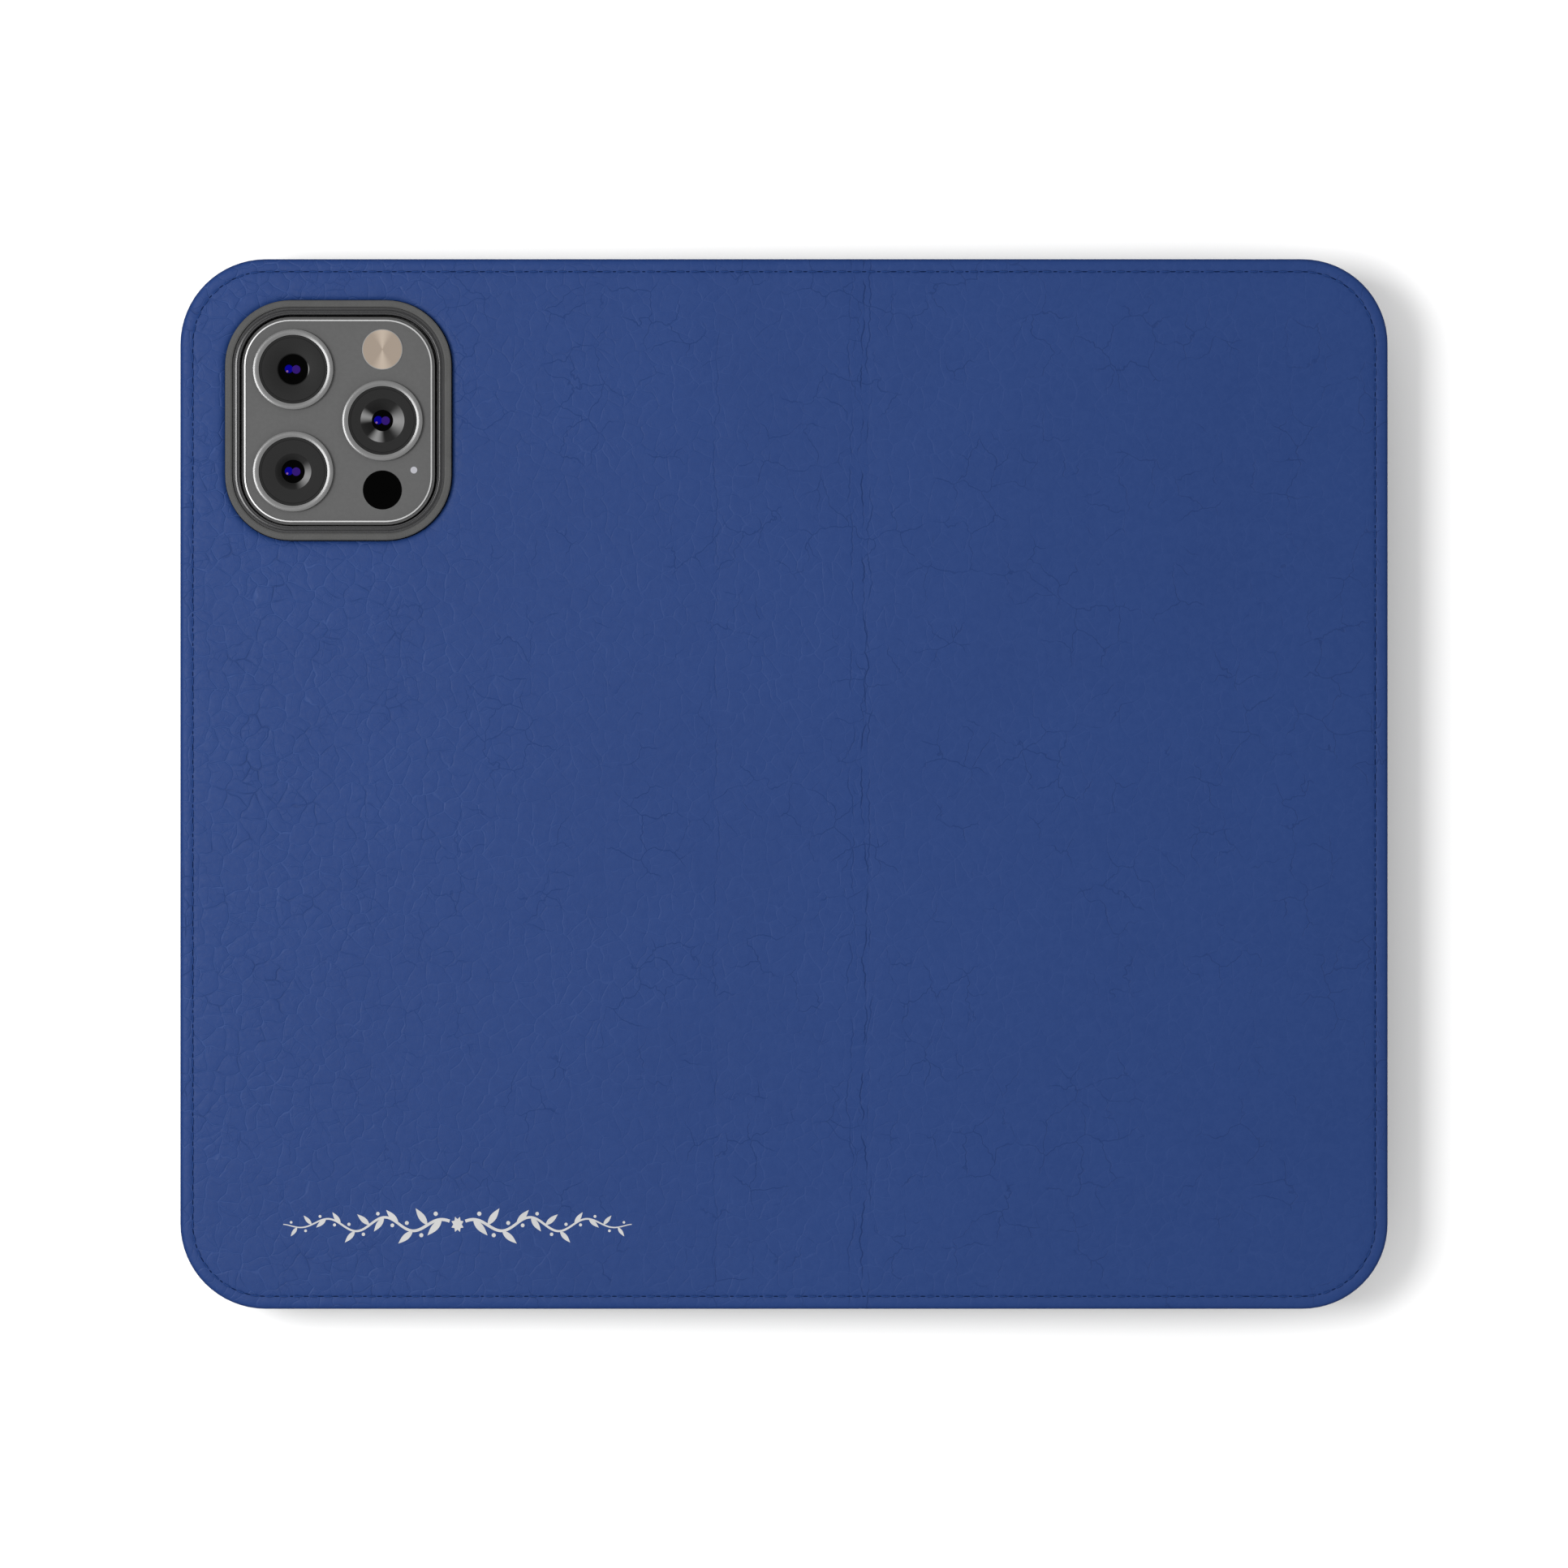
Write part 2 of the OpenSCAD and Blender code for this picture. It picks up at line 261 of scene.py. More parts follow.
# broken crease lines in the leather, dented and darkened with painted shade: place along X, pattern number,
# depth
CREASE_LINES = [
    (CREASE[0] + 0.2, 3.0, 0.35),
    (CREASE[1] - 0.3, 11.0, 0.9),
    (CREASE[1] + 0.5, 27.0, 0.6),
    (CREASE[1] - 2.1, 42.0, 0.5),
]


def pebbles(t, co, x):
    """Grooves and height of wrinkled pebbles, plump at the free edge and flat towards the front cover."""
    net = t.warp(co, 0.34, 2.3, 1.0)
    edge = t.cells(net, 0.38)
    small = t.cells(t.shift(net, 31.0, 17.0), 0.74)
    patch = t.remap(t.noise(co, 0.05, 2), 0.34, 0.66, 0.6, 1.15)
    plump = t.mul(t.remap(x, LEFT, -30, 1.0, 0.36), t.remap(x, -40, 50, 1.0, 0.50))
    relief = t.mul(plump, patch)
    opened = t.remap(t.noise(t.shift(co, 60.0, 5.0), 0.30, 2), 0.36, 0.54, 0.30, 1.0)
    opened_small = t.remap(t.noise(t.shift(co, 9.0, 70.0), 0.34, 2), 0.48, 0.60)
    groove = t.mul(t.remap(edge, 0.0, 0.062, 1.0, 0.0), opened)
    minor = t.mul(t.remap(small, 0.0, 0.070, 1.0, 0.0), opened_small)
    groove = t.mul(t.math("MAXIMUM", groove, t.mul(minor, 0.45)), relief)
    dome = t.mul(t.remap(edge, 0.0, 0.30), relief)
    return groove, t.sub(t.mul(dome, 0.45), groove)


def long_cracks(t, co, x):
    """Long thin cracks, here and there, fewer near the free edge; they dent the leather and carry painted
    shade.
    """
    edge = t.cells(t.warp(co, 0.22, 6.0, 3.0), 0.19)
    where = t.remap(t.noise(t.shift(co, 5.0, 90.0), 0.10, 3, 0.6), 0.47, 0.60)
    where = t.mul(where, t.remap(x, LEFT, -20, 0.35, 1.0))
    return t.mul(t.remap(edge, 0.0, 0.020, 1.0, 0.0), where)


def crease_lines(t, co, x):
    """The creases at the folds: lines that wander, stop and start again; they dent the leather and carry
    painted shade.
    """
    lines = 0.0
    for x0, seed, depth in CREASE_LINES:
        along = t.vec("ADD", t.vec("MULTIPLY", co, (0.10, 1.0, 0)), (seed, seed, 0))
        drift = t.mul(t.sub(t.noise(along, 0.11, 4, 0.62), 0.5), 4.2)
        off = t.math("ABSOLUTE", t.sub(t.sub(x, x0), drift))
        broken = t.remap(t.noise(along, 0.16, 2), 0.42, 0.54, 0.10, 1.0)
        line = t.mul(t.remap(off, 0.0, 0.16, 1.0, 0.0), t.mul(broken, depth))
        lines = t.math("MAXIMUM", lines, line)
    return lines


def leather_material():
    t = Tree("blue_pebbled_leather")
    co = t.rest()
    x = t.split(co)[0]
    groove, height = pebbles(t, co, x)
    crack = t.math("MAXIMUM", long_cracks(t, co, x), t.mul(crease_lines(t, co, x), 1.9))
    fine = t.noise(co, 2.2, 4, 0.62)
    pores = t.noise(co, 0.85, 3, 0.6)
    wrinkle = t.noise(t.vec("MULTIPLY", co, (1.9, 0.35, 1.0)), 1.0, 4, 0.65, 0.8)
    folded = t.mul(wrinkle, t.attribute("fold"))
    for layer, amount in ((fine, 0.38), (pores, 0.20), (crack, -0.55), (folded, 0.30)):
        height = t.add(height, t.mul(layer, amount))

    tone = t.noise(co, 0.045, 3, 0.5)
    base = t.mix(t.remap(tone, 0.15, 0.85), LEATHER_DARK, LEATHER_LIGHT)
    base = t.mix(t.remap(t.add(fine, pores), 0.75, 1.25, 0.0, 0.16), base, LEATHER_PALE)
    # painted highlight and painted shade along the grain's grooves: pale in some places, dark in others,
    # stronger where the relief is plump
    patchy = t.noise(t.shift(co, 22.0, 41.0), 0.20, 2)
    base = t.mix(t.mul(groove, t.remap(patchy, 0.36, 0.54, 0.20, 0.72)), base, LEATHER_PALE)
    base = t.mix(t.mul(groove, t.remap(patchy, 0.38, 0.50, 0.26, 0.0)), base, LEATHER_DEEP)
    # painted shade in the cracks and in the crease lines at the folds
    base = t.mix(t.mul(crack, 0.26), base, LEATHER_DEEP)
    # the rolled edge is darker and duller
    edge = t.attribute("edge_mm")
    base = t.mix(t.remap(edge, 0.0, 0.5, 0.45, 0.0), base, LEATHER_DEEP)
    return t.shader(
        Base_Color=base,
        Roughness=t.add(t.remap(fine, 0.3, 0.7, 0.50, 0.62), t.mul(crack, 0.15)),
        Specular_IOR_Level=t.remap(edge, 0.0, 0.6, 0.02, 0.18),
        Normal=t.bump(height, 0.00010, 0.62),
    )


def fabric_material(name, dark, light, bends=True):
    """Microfibre: short random nap over a fine twill."""
    t = Tree(name)
    co = t.coords(bends)
    nap = t.noise(co, 3.2, 5, 0.7)
    cloud = t.noise(co, 0.12, 2, 0.5)
    x, y, _ = t.split(co)
    diagonal = t.math("SINE", t.mul(t.add(x, y), 9.0))
    weft = t.math("SINE", t.mul(t.sub(x, y), 4.5))
    weave = t.mul(t.add(diagonal, t.mul(weft, 0.4)), 0.5)
    base = t.mix(t.remap(nap, 0.3, 0.72), dark, light)
    base = t.mix(t.remap(cloud, 0.35, 0.65, 0.0, 0.25), base, tuple(v * 1.35 for v in light))
    return t.shader(
        Base_Color=base,
        Roughness=t.remap(nap, 0.3, 0.7, 0.82, 0.95),
        Specular_IOR_Level=0.25,
        Sheen_Weight=0.18,
        Sheen_Roughness=0.5,
        Normal=t.bump(t.add(t.mul(weave, 0.25), nap), 0.00010, 0.6),
    )


def thread_material(name, dark, light):
    """Twisted thread."""
    t = Tree(name)
    co = t.rest()
    x, y, _ = t.split(co)
    twist = t.math("SINE", t.mul(t.add(x, y), 22.0))
    tone = t.noise(co, 1.4, 2)
    base = t.mix(t.remap(twist, -1, 1), dark, light)
    return t.shader(
        Base_Color=t.mix(t.remap(tone, 0.35, 0.65, 0.0, 0.3), base, dark),
        Roughness=t.remap(tone, 0.3, 0.7, 0.55, 0.7),
        Specular_IOR_Level=0.12,
        Normal=t.bump(twist, 0.00004, 0.5),
    )


def plastic_material(name, color, rough, bump=0.00002, bends=False, spec=0.5, mottled=0.12):
    """Moulded plastic or rubber with a very fine grain."""
    t = Tree(name)
    co = t.coords(bends)
    spark = t.noise(co, 7.0, 3, 0.6)
    cloud = t.noise(co, 0.25, 3, 0.55)
    return t.shader(
        Base_Color=t.mix(t.remap(cloud, 0.35, 0.65), color, darker(color, mottled)),
        Roughness=t.remap(spark, 0.3, 0.7, rough - 0.05, rough + 0.06),
        Specular_IOR_Level=spec,
        Normal=t.bump(spark, bump, 0.6),
    )


def metal_material(name, color, rough):
    """Brushed metal."""
    t = Tree(name)
    lines = t.noise(t.vec("MULTIPLY", t.object_mm(), (1, 40, 1)), 0.8, 3, 0.5)
    return t.shader(
        Base_Color=t.mix(t.remap(lines, 0.3, 0.7), color, darker(color, 0.15)),
        Metallic=1.0,
        Roughness=t.remap(lines, 0.3, 0.7, rough - 0.06, rough + 0.08),
        Normal=t.bump(lines, 0.00001, 0.4),
    )


def board_material():
    t = Tree("grey_fibre_board")
    fibres = t.noise(t.vec("MULTIPLY", t.object_mm(), (0.6, 3.0, 1.0)), 1.0, 5, 0.7, 1.5)
    return t.shader(
        Base_Color=t.mix(t.remap(fibres, 0.3, 0.7), (0.30, 0.27, 0.22), (0.40, 0.37, 0.31)),
        Roughness=t.remap(fibres, 0.3, 0.7, 0.8, 0.95),
        Normal=t.bump(fibres, 0.00005, 0.5),
    )


POCKET_DARK, POCKET_LIGHT = (0.016, 0.016, 0.018), (0.036, 0.036, 0.040)
LEATHER = leather_material()
LINING = fabric_material("dark_microfibre_lining", (0.012, 0.012, 0.014), (0.030, 0.030, 0.034))
POCKET = fabric_material("dark_pocket_cloth", POCKET_DARK, POCKET_LIGHT)
SEAM = fabric_material("dark_seam_cloth", POCKET_DARK, POCKET_LIGHT, bends=False)
THREAD = thread_material("blue_thread", (0.0075, 0.029, 0.125), (0.0125, 0.041, 0.160))
# painted shade of the needle holes: small dark patches laid on the leather between the stitches
HOLE_SHADE = plastic_material("needle_hole_shade", (0.0028, 0.0105, 0.047), 0.9, bends=True, spec=0.02)
SHELL = plastic_material("matt_grey_shell", (0.044, 0.044, 0.043), 0.55, 0.00003, spec=0.35)
LINER = plastic_material("black_soft_liner", (0.016, 0.016, 0.017), 0.48, 0.00003, spec=0.3)
GLOSS = plastic_material("dark_glossy_ring", (0.008, 0.008, 0.009), 0.25, 0.000002, spec=0.55)
BUTTON = plastic_material("black_button_cap", (0.014, 0.014, 0.015), 0.38, 0.00003)
METAL = metal_material("plated_steel", (0.55, 0.55, 0.57), 0.30)
TAPE = plastic_material("double_sided_tape", (0.62, 0.62, 0.60), 0.7)
BOARD = board_material()
PRINT = plastic_material("pale_grey_print", grey(0.44), 0.6, bends=True, spec=0.2, mottled=0.06)

# ---------------------------------------------------------------- mesh helpers


def rr_path(cx, cy, half_w, half_h, r, step, arc_steps):
    """Points round a rounded rectangle, counter-clockwise from the middle of its right side."""
    out = []
    sx, sy = half_w - r, half_h - r

    def line(a, b):
        n = max(1, round((Vector(b) - Vector(a)).length / step))
        for i in range(n):
            out.append((a[0] + (b[0] - a[0]) * i / n, a[1] + (b[1] - a[1]) * i / n))

    def arc(ax, ay, start):
        for i in range(arc_steps):
            ang = math.radians(start + 90 * i / arc_steps)
            out.append((ax + r * math.cos(ang), ay + r * math.sin(ang)))

    line((half_w, 0), (half_w, sy))
    arc(sx, sy, 0)
    line((sx, half_h), (-sx, half_h))
    arc(-sx, sy, 90)
    line((-half_w, sy), (-half_w, -sy))
    arc(-sx, -sy, 180)
    line((-sx, -half_h), (sx, -half_h))
    arc(sx, -sy, 270)
    line((half_w, -sy), (half_w, 0))
    return [(cx + x, cy + y) for x, y in out]


def circle(cx, cy, r, n):
    angles = [2 * math.pi * k / n for k in range(n)]
    return [(cx + r * math.cos(a), cy + r * math.sin(a)) for a in angles]


def rr_distance(x, y, cx, cy, half_w, half_h, r):
    """How far a point is inside a rounded rectangle; negative outside it."""
    qx, qy = abs(x - cx) - (half_w - r), abs(y - cy) - (half_h - r)
    outside = math.hypot(max(qx, 0), max(qy, 0))
    return r - outside - min(max(qx, qy), 0)


def edge_distance(x, y):
    return rr_distance(x, y, CASE_X, 0, HALF_W, HALF_H, CORNER_R)


def window_path(off):
    """The camera window's outline, moved outwards."""
    return rr_path(WIN_X, WIN_Y, WIN_W / 2 + off, WIN_H / 2 + off, WIN_R + off, 1.0, 16)


def hole_path(off):
    """The same outline with fewer points, for the leather round its hole."""
    return rr_path(WIN_X, WIN_Y, WIN_W / 2 + off, WIN_H / 2 + off, WIN_R + off, 1.2, 10)


def hole_distance(x, y):
    """How far a point is outside the window's hole in the leather; negative inside it."""
    g = HOLE_GROW
    return -rr_distance(x, y, WIN_X, WIN_Y, WIN_W / 2 + g, WIN_H / 2 + g, WIN_R + g)


def case_half_path(side, inset, step=1.1, arc_steps=16):
    """One half of the case's outline, moved inwards, from the split at +Y round to the split at -Y."""
    hw, hh, r = HALF_W - inset, HALF_H - inset, CORNER_R - inset
    n_long = round((SPLIT - (LEFT + CORNER_R)) / step)
    n_side = round(2 * (HALF_H - CORNER_R) / step)
    cx = CASE_X + side * (hw - r)
    out = []
    for i in range(n_long):
        out.append((SPLIT + (cx - SPLIT) * i / n_long, hh))
    for i in range(arc_steps):
        a = math.radians(90 * i / arc_steps)
        out.append((cx + side * r * math.sin(a), hh - r + r * math.cos(a)))
    for i in range(n_side):
        out.append((CASE_X + side * hw, (hh - r) - 2 * (hh - r) * i / n_side))
    for i in range(arc_steps):
        a = math.radians(90 * i / arc_steps)
        out.append((cx + side * r * math.cos(a), -(hh - r) - r * math.sin(a)))
    for i in range(n_long + 1):
        out.append((cx + (SPLIT - cx) * i / n_long, -hh))
    return out


def set_rest(mesh):
    """Stores where each vertex is at rest, in mm, so that a pattern keeps to it when the piece bends."""
    layer = mesh.attributes.new("rest_mm", "FLOAT_VECTOR", "POINT")
    layer.data.foreach_set("vector", [c / MM for v in mesh.vertices for c in v.co])


def set_value(mesh, name, values):
    layer = mesh.attributes.new(name, "FLOAT", "POINT")
    layer.data.foreach_set("value", values)


def make(
    name, verts, faces, mats, body=None, smooth=True, face_mats=None, clean=False, close=False
):
    """A mesh object from points in mm; clean turns its faces outwards, close fills its open edges first."""
    mesh = bpy.data.meshes.new(name)
    mesh.from_pydata([tuple(c * MM for c in v) for v in verts], [], faces)
    if clean:
        bm = bmesh.new()
        bm.from_mesh(mesh)
        if close:
            bmesh.ops.holes_fill(bm, edges=[e for e in bm.edges if e.is_boundary], sides=0)
        bmesh.ops.recalc_face_normals(bm, faces=bm.faces)
        bm.to_mesh(mesh)
        bm.free()
    mesh.validate()
    for m in mats if isinstance(mats, (list, tuple)) else [mats]:
        mesh.materials.append(m)
    if face_mats:
        mesh.polygons.foreach_set("material_index", face_mats)
    mesh.polygons.foreach_set("use_smooth", [smooth] * len(mesh.polygons))
    set_rest(mesh)
    ob = bpy.data.objects.new(name, mesh)
    bpy.context.scene.collection.objects.link(ob)
    if body:
        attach(ob, body)
    return ob


def keep_edges(ob, degrees):
    """Edges sharper than this stay sharp in a smooth mesh."""
    ob.data.set_sharp_from_angle(angle=math.radians(degrees))


def sweep_ring(path, profile):
    """Faces of a closed profile of (offset, z) swept round a closed path; each offset has its own path."""
    verts, faces = [], []
    n, m = len(path(0)), len(profile)
    for off, z in profile:
        verts += [(x, y, z) for x, y in path(off)]
    for j in range(m):
        a, b = j * n, ((j + 1) % m) * n
        for i in range(n):
            k = (i + 1) % n
            faces.append((a + i, a + k, b + k, b + i))
    return verts, faces


# ---------------------------------------------------------------- leather and lining


# width and depth of the leather's rolled edge
ROLL, ROLL_DROP = 1.15, 0.62
# how much nearer the leather the lining lies at a fold, where no board is between them
BOND_RISE = 0.8


def crease_wobble(x0, y):
    """How far a fold line wanders from the straight, in mm."""
    n = noise.noise(Vector((x0 * 0.3, y * 0.055, 2.0)))
    return 0.55 * n + 0.22 * noise.noise(Vector((x0, y * 0.28, 7.0)))


def fold_amount(x, y):
    """1 on a fold line, 0 away from it."""
    total = 0
    for x0, power in zip(CREASE, (0.55, 1.0)):
        total += power * bell(x - x0 - crease_wobble(x0, y), 0.85)
    return min(total, 1.0)


def bell(distance, width):
    return math.exp(-((distance / width) ** 2))


def leather_top(x, y):
    """Height of the leather's outer face: rolled edge, stitch groove, window's edge, folds, slight waves."""
    d = max(edge_distance(x, y), 0.0)
    z = OUTER_Z
    if d < ROLL:
        z -= ROLL_DROP * (1 - math.sqrt(max(0.0, 1 - (1 - d / ROLL) ** 2)))
    z -= 0.07 * bell(d - STITCH_D, 0.26) + 0.05 * bell(d - STITCH_D, 1.0)
    z -= 0.30 * math.exp(-max(hole_distance(x, y), 0.0) / 0.35)
    for x0, power in zip(CREASE, (0.6, 1.0)):
        u = x - x0 - crease_wobble(x0, y)
        ripple = 1 + 0.5 * noise.noise(Vector((x0, y * 0.45, 4.0)))
        z -= power * (0.022 * ripple * bell(u, 0.40) + 0.05 * bell(u, 1.9))
    z -= 0.03 * (0.5 + 0.5 * noise.noise(Vector((x * 0.03, y * 0.03, 0.0))))
    return z


def leather_under(x, y):
    return OUTER_Z - SKIN_T


def recess(x):
    """1 in the middle of a fold, where the lining is bonded to the leather, 0 on the boards."""
    total = 0
    for x0 in CREASE:
        t = min(max((CREASE_HALF - 0.1 - abs(x - x0)) / 1.0, 0), 1)
        total += t * t * (3 - 2 * t)
    return total


def lining_bottom(x, y):
    """Height of the lining's inner, visible face."""
    d = max(edge_distance(x, y), 0.0)
    z = INNER_Z + BOND_RISE * recess(x) + 0.10 * bell(d - STITCH_D, 0.35)
    return z + 0.02 * noise.noise(Vector((x * 0.2, y * 0.2, 3.0)))


def lining_top(x, y):
    return INNER_Z + LINING_T + BOND_RISE * recess(x)


# spacing of a sheet's points: across a fold, along it, along the split, and in the even net elsewhere
FOLD_STEP, ROW_STEP, SPLIT_STEPS, NET = 0.26, 1.25, 44, 2.6
FOLD_COLUMNS = 12
FAR_COLUMNS = (4.2, 5.6, 8.0)
HOLE_RINGS = (HOLE_GROW, 2.4, 2.75, 3.2, 4.0, 5.2)


def loose_points(side, margin, hole):
    """Points of half a sheet that lie on none of its rings: close columns at the fold, then an even net."""
    x0 = CREASE[0] if side < 0 else CREASE[1]
    start = margin + 0.6 - HALF_H
    rows = [start + i * ROW_STEP for i in range(int(-2 * start / ROW_STEP) + 1)]
    points = [(x0 + i * FOLD_STEP, y) for i in range(-FOLD_COLUMNS, FOLD_COLUMNS + 1) for y in rows]
    points += [(x0 - side * d, y) for d in FAR_COLUMNS for y in rows[::2]]
    lo, hi = (LEFT, CREASE[0] - 3.5) if side < 0 else (CREASE[1] + 3.5, RIGHT)
    for i in range(int((hi - lo) / NET) + 1):
        for j in range(int(2 * HALF_H / NET) + 1):
            x, y = lo + i * NET, -HALF_H + j * NET + (i % 2) * NET / 2
            if edge_distance(x, y) < margin + 0.9 or x > hi + 0.1:
                continue
            if hole and hole_distance(x, y) < 3.6:
                continue
            points.append((x, y))
    return points


def middle(points, tri):
    return sum(points[i].x for i in tri) / 3, sum(points[i].y for i in tri) / 3


def sheet_plan(side, insets, hole):
    """Half a sheet from above: points, triangles, and the points of its edge rings and of its hole."""
    points, edges = [], []

    def add_line(path, closed=False):
        ids = [len(points) + i for i in range(len(path))]
        points.extend(Vector(p) for p in path)
        edges.extend(zip(ids, ids[1:] + ids[:1] if closed else ids[1:]))
        return ids

    rings = [add_line(case_half_path(side, d)) for d in insets]
    ys = [HALF_H - d for d in insets]
    between = [ys[-1] * (1 - 2 * i / SPLIT_STEPS) for i in range(1, SPLIT_STEPS)]
    add_line([(SPLIT, y) for y in ys + between + [-y for y in reversed(ys)]])
    hole_rings = [add_line(hole_path(g), closed=True) for g in HOLE_RINGS] if hole else [[]]
    points += [Vector(p) for p in loose_points(side, insets[-1], hole)]
    points, _, tris, orig, _, _ = geometry.delaunay_2d_cdt(points, edges, [], 0, 1e-5, True)
    new_id = {old: new for new, olds in enumerate(orig) for old in olds}
    kept = []
    for tri in tris:
        x, y = middle(points, tri)
        if edge_distance(x, y) < insets[0] + 1e-3 or side * (x - SPLIT) < 0:
            continue
        if not (hole and hole_distance(x, y) < 0):
            kept.append(tuple(tri))
    return points, kept, [[new_id[i] for i in ring] for ring in rings], [new_id[i] for i in hole_rings[0]]


def panel_half(name, side, insets, inner_inset, top, bottom, profile, mat):
    """One half of a sheet that crosses a fold, as a closed solid with a detailed edge."""
    points, tris, rings, hole_ring = sheet_plan(side, insets, side < 0)
    verts, faces, made = [], [], {}

    def vertex(i, height):
        if (i, height) not in made:
            made[i, height] = len(verts)
            verts.append((points[i].x, points[i].y, height(points[i].x, points[i].y)))
        return made[i, height]

    for tri in tris:
        faces.append(tuple(vertex(i, top) for i in tri))
        if edge_distance(*middle(points, tri)) > inner_inset:
            faces.append(tuple(vertex(i, bottom) for i in reversed(tri)))
    # the outer edge, row by row from the top face to the bottom face
    rows = [[vertex(i, top) for i in rings[0]]]
    for d, z in profile:
        path = case_half_path(side, d)
        rows.append([len(verts) + i for i in range(len(path))])
        verts += [(x, y, z) for x, y in path]
    rows.append([vertex(i, bottom) for i in rings[insets.index(inner_inset)]])
    for a, b in zip(rows, rows[1:]):
        faces += zip(a, a[1:], b[1:], b)
    # the wall of the hole
    a, b = [vertex(i, top) for i in hole_ring], [vertex(i, bottom) for i in hole_ring]
    faces += zip(a, b, b[1:] + b[:1], a[1:] + a[:1])
    ob = make(name, verts, faces, mat, clean=True, close=True)
    flat = [(v.co.x / MM, v.co.y / MM) for v in ob.data.vertices]
    set_value(ob.data, "edge_mm", [edge_distance(x, y) for x, y in flat])
    set_value(ob.data, "fold", [fold_amount(x, y) for x, y in flat])
    keep_edges(ob, 55)
    return ob


def bend(ob):
    """Bakes a piece's transform into its mesh; the piece is not bent at the fold."""
    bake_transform(ob)


SIDE_TOP = OUTER_Z - ROLL_DROP
LEATHER_INSETS = [0.0, 0.12, 0.3, 0.55, 0.85, 1.15, 1.4, 1.6, 1.72, 1.85, 1.98, 2.1, 2.3, 2.6, 3.1, 4.0, 5.4]
LINING_INSETS = [0.95, 1.1, 1.4, 1.6, 1.72, 1.85, 1.98, 2.1, 2.4, 3.2, 4.6]
# the leather's turned edge, from its side down and in to the lining: inset and height
EDGE_PROFILE = [
    (-0.05, SIDE_TOP - 0.35),
    (-0.05, INNER_Z + 0.75),
    (0.0, INNER_Z + 0.4),
    (0.16, INNER_Z + 0.16),
    (0.42, INNER_Z + 0.03),
    (0.75, INNER_Z),
    (0.92, INNER_Z + 0.06),
]
LEATHER_NAMES = {-1: "leather_back_half", 1: "leather_cover_half"}
LINING_NAMES = {-1: "lining_back_half", 1: "lining_cover_half"}
for side in (-1, 1):
    skin = panel_half(
        LEATHER_NAMES[side], side, LEATHER_INSETS, 0.85, leather_top, leather_under, EDGE_PROFILE, LEATHER
    )
    bend(skin)
    if side < 0:
        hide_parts("back_leather", "back_hinge_strip", "spine_leather")
    else:
        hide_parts("cover_leather", "cover_hinge_strip")

for side in (-1, 1):
    cloth = panel_half(LINING_NAMES[side], side, LINING_INSETS, 0.95, lining_top, lining_bottom, [], LINING)
    bend(cloth)
    if side < 0:
        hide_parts("back_lining", "spine_lining")
    else:
        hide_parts("cover_lining")

# ---------------------------------------------------------------- stitches

# the edge's stitches: from one to the next, gap between two, and half the length and width of a needle hole's
# patch of painted shade
PITCH, GAP = 2.13, 0.62
HOLE_LONG, HOLE_WIDE = 0.38, 0.09
POCKET_PITCH, POCKET_GAP = 2.4, 0.6


def walk(path):
    """(length so far, point) along a line of points."""
    out, s = [(0.0, path[0])], 0.0
    for a, b in zip(path, path[1:]):
        s += math.hypot(b[0] - a[0], b[1] - a[1])
        out.append((s, b))
    return out


def at(walked, s):
    """Point and unit direction at a length along a walked line."""
    for (s0, a), (s1, b) in zip(walked, walked[1:]):
        if s <= s1 or (s1, b) == walked[-1]:
            t = (s - s0) / max(s1 - s0, 1e-9)
            d = Vector((b[0] - a[0], b[1] - a[1])).normalized()
            return Vector((a[0] + (b[0] - a[0]) * t, a[1] + (b[1] - a[1]) * t)), d
    return Vector(walked[-1][1]), Vector((1, 0))


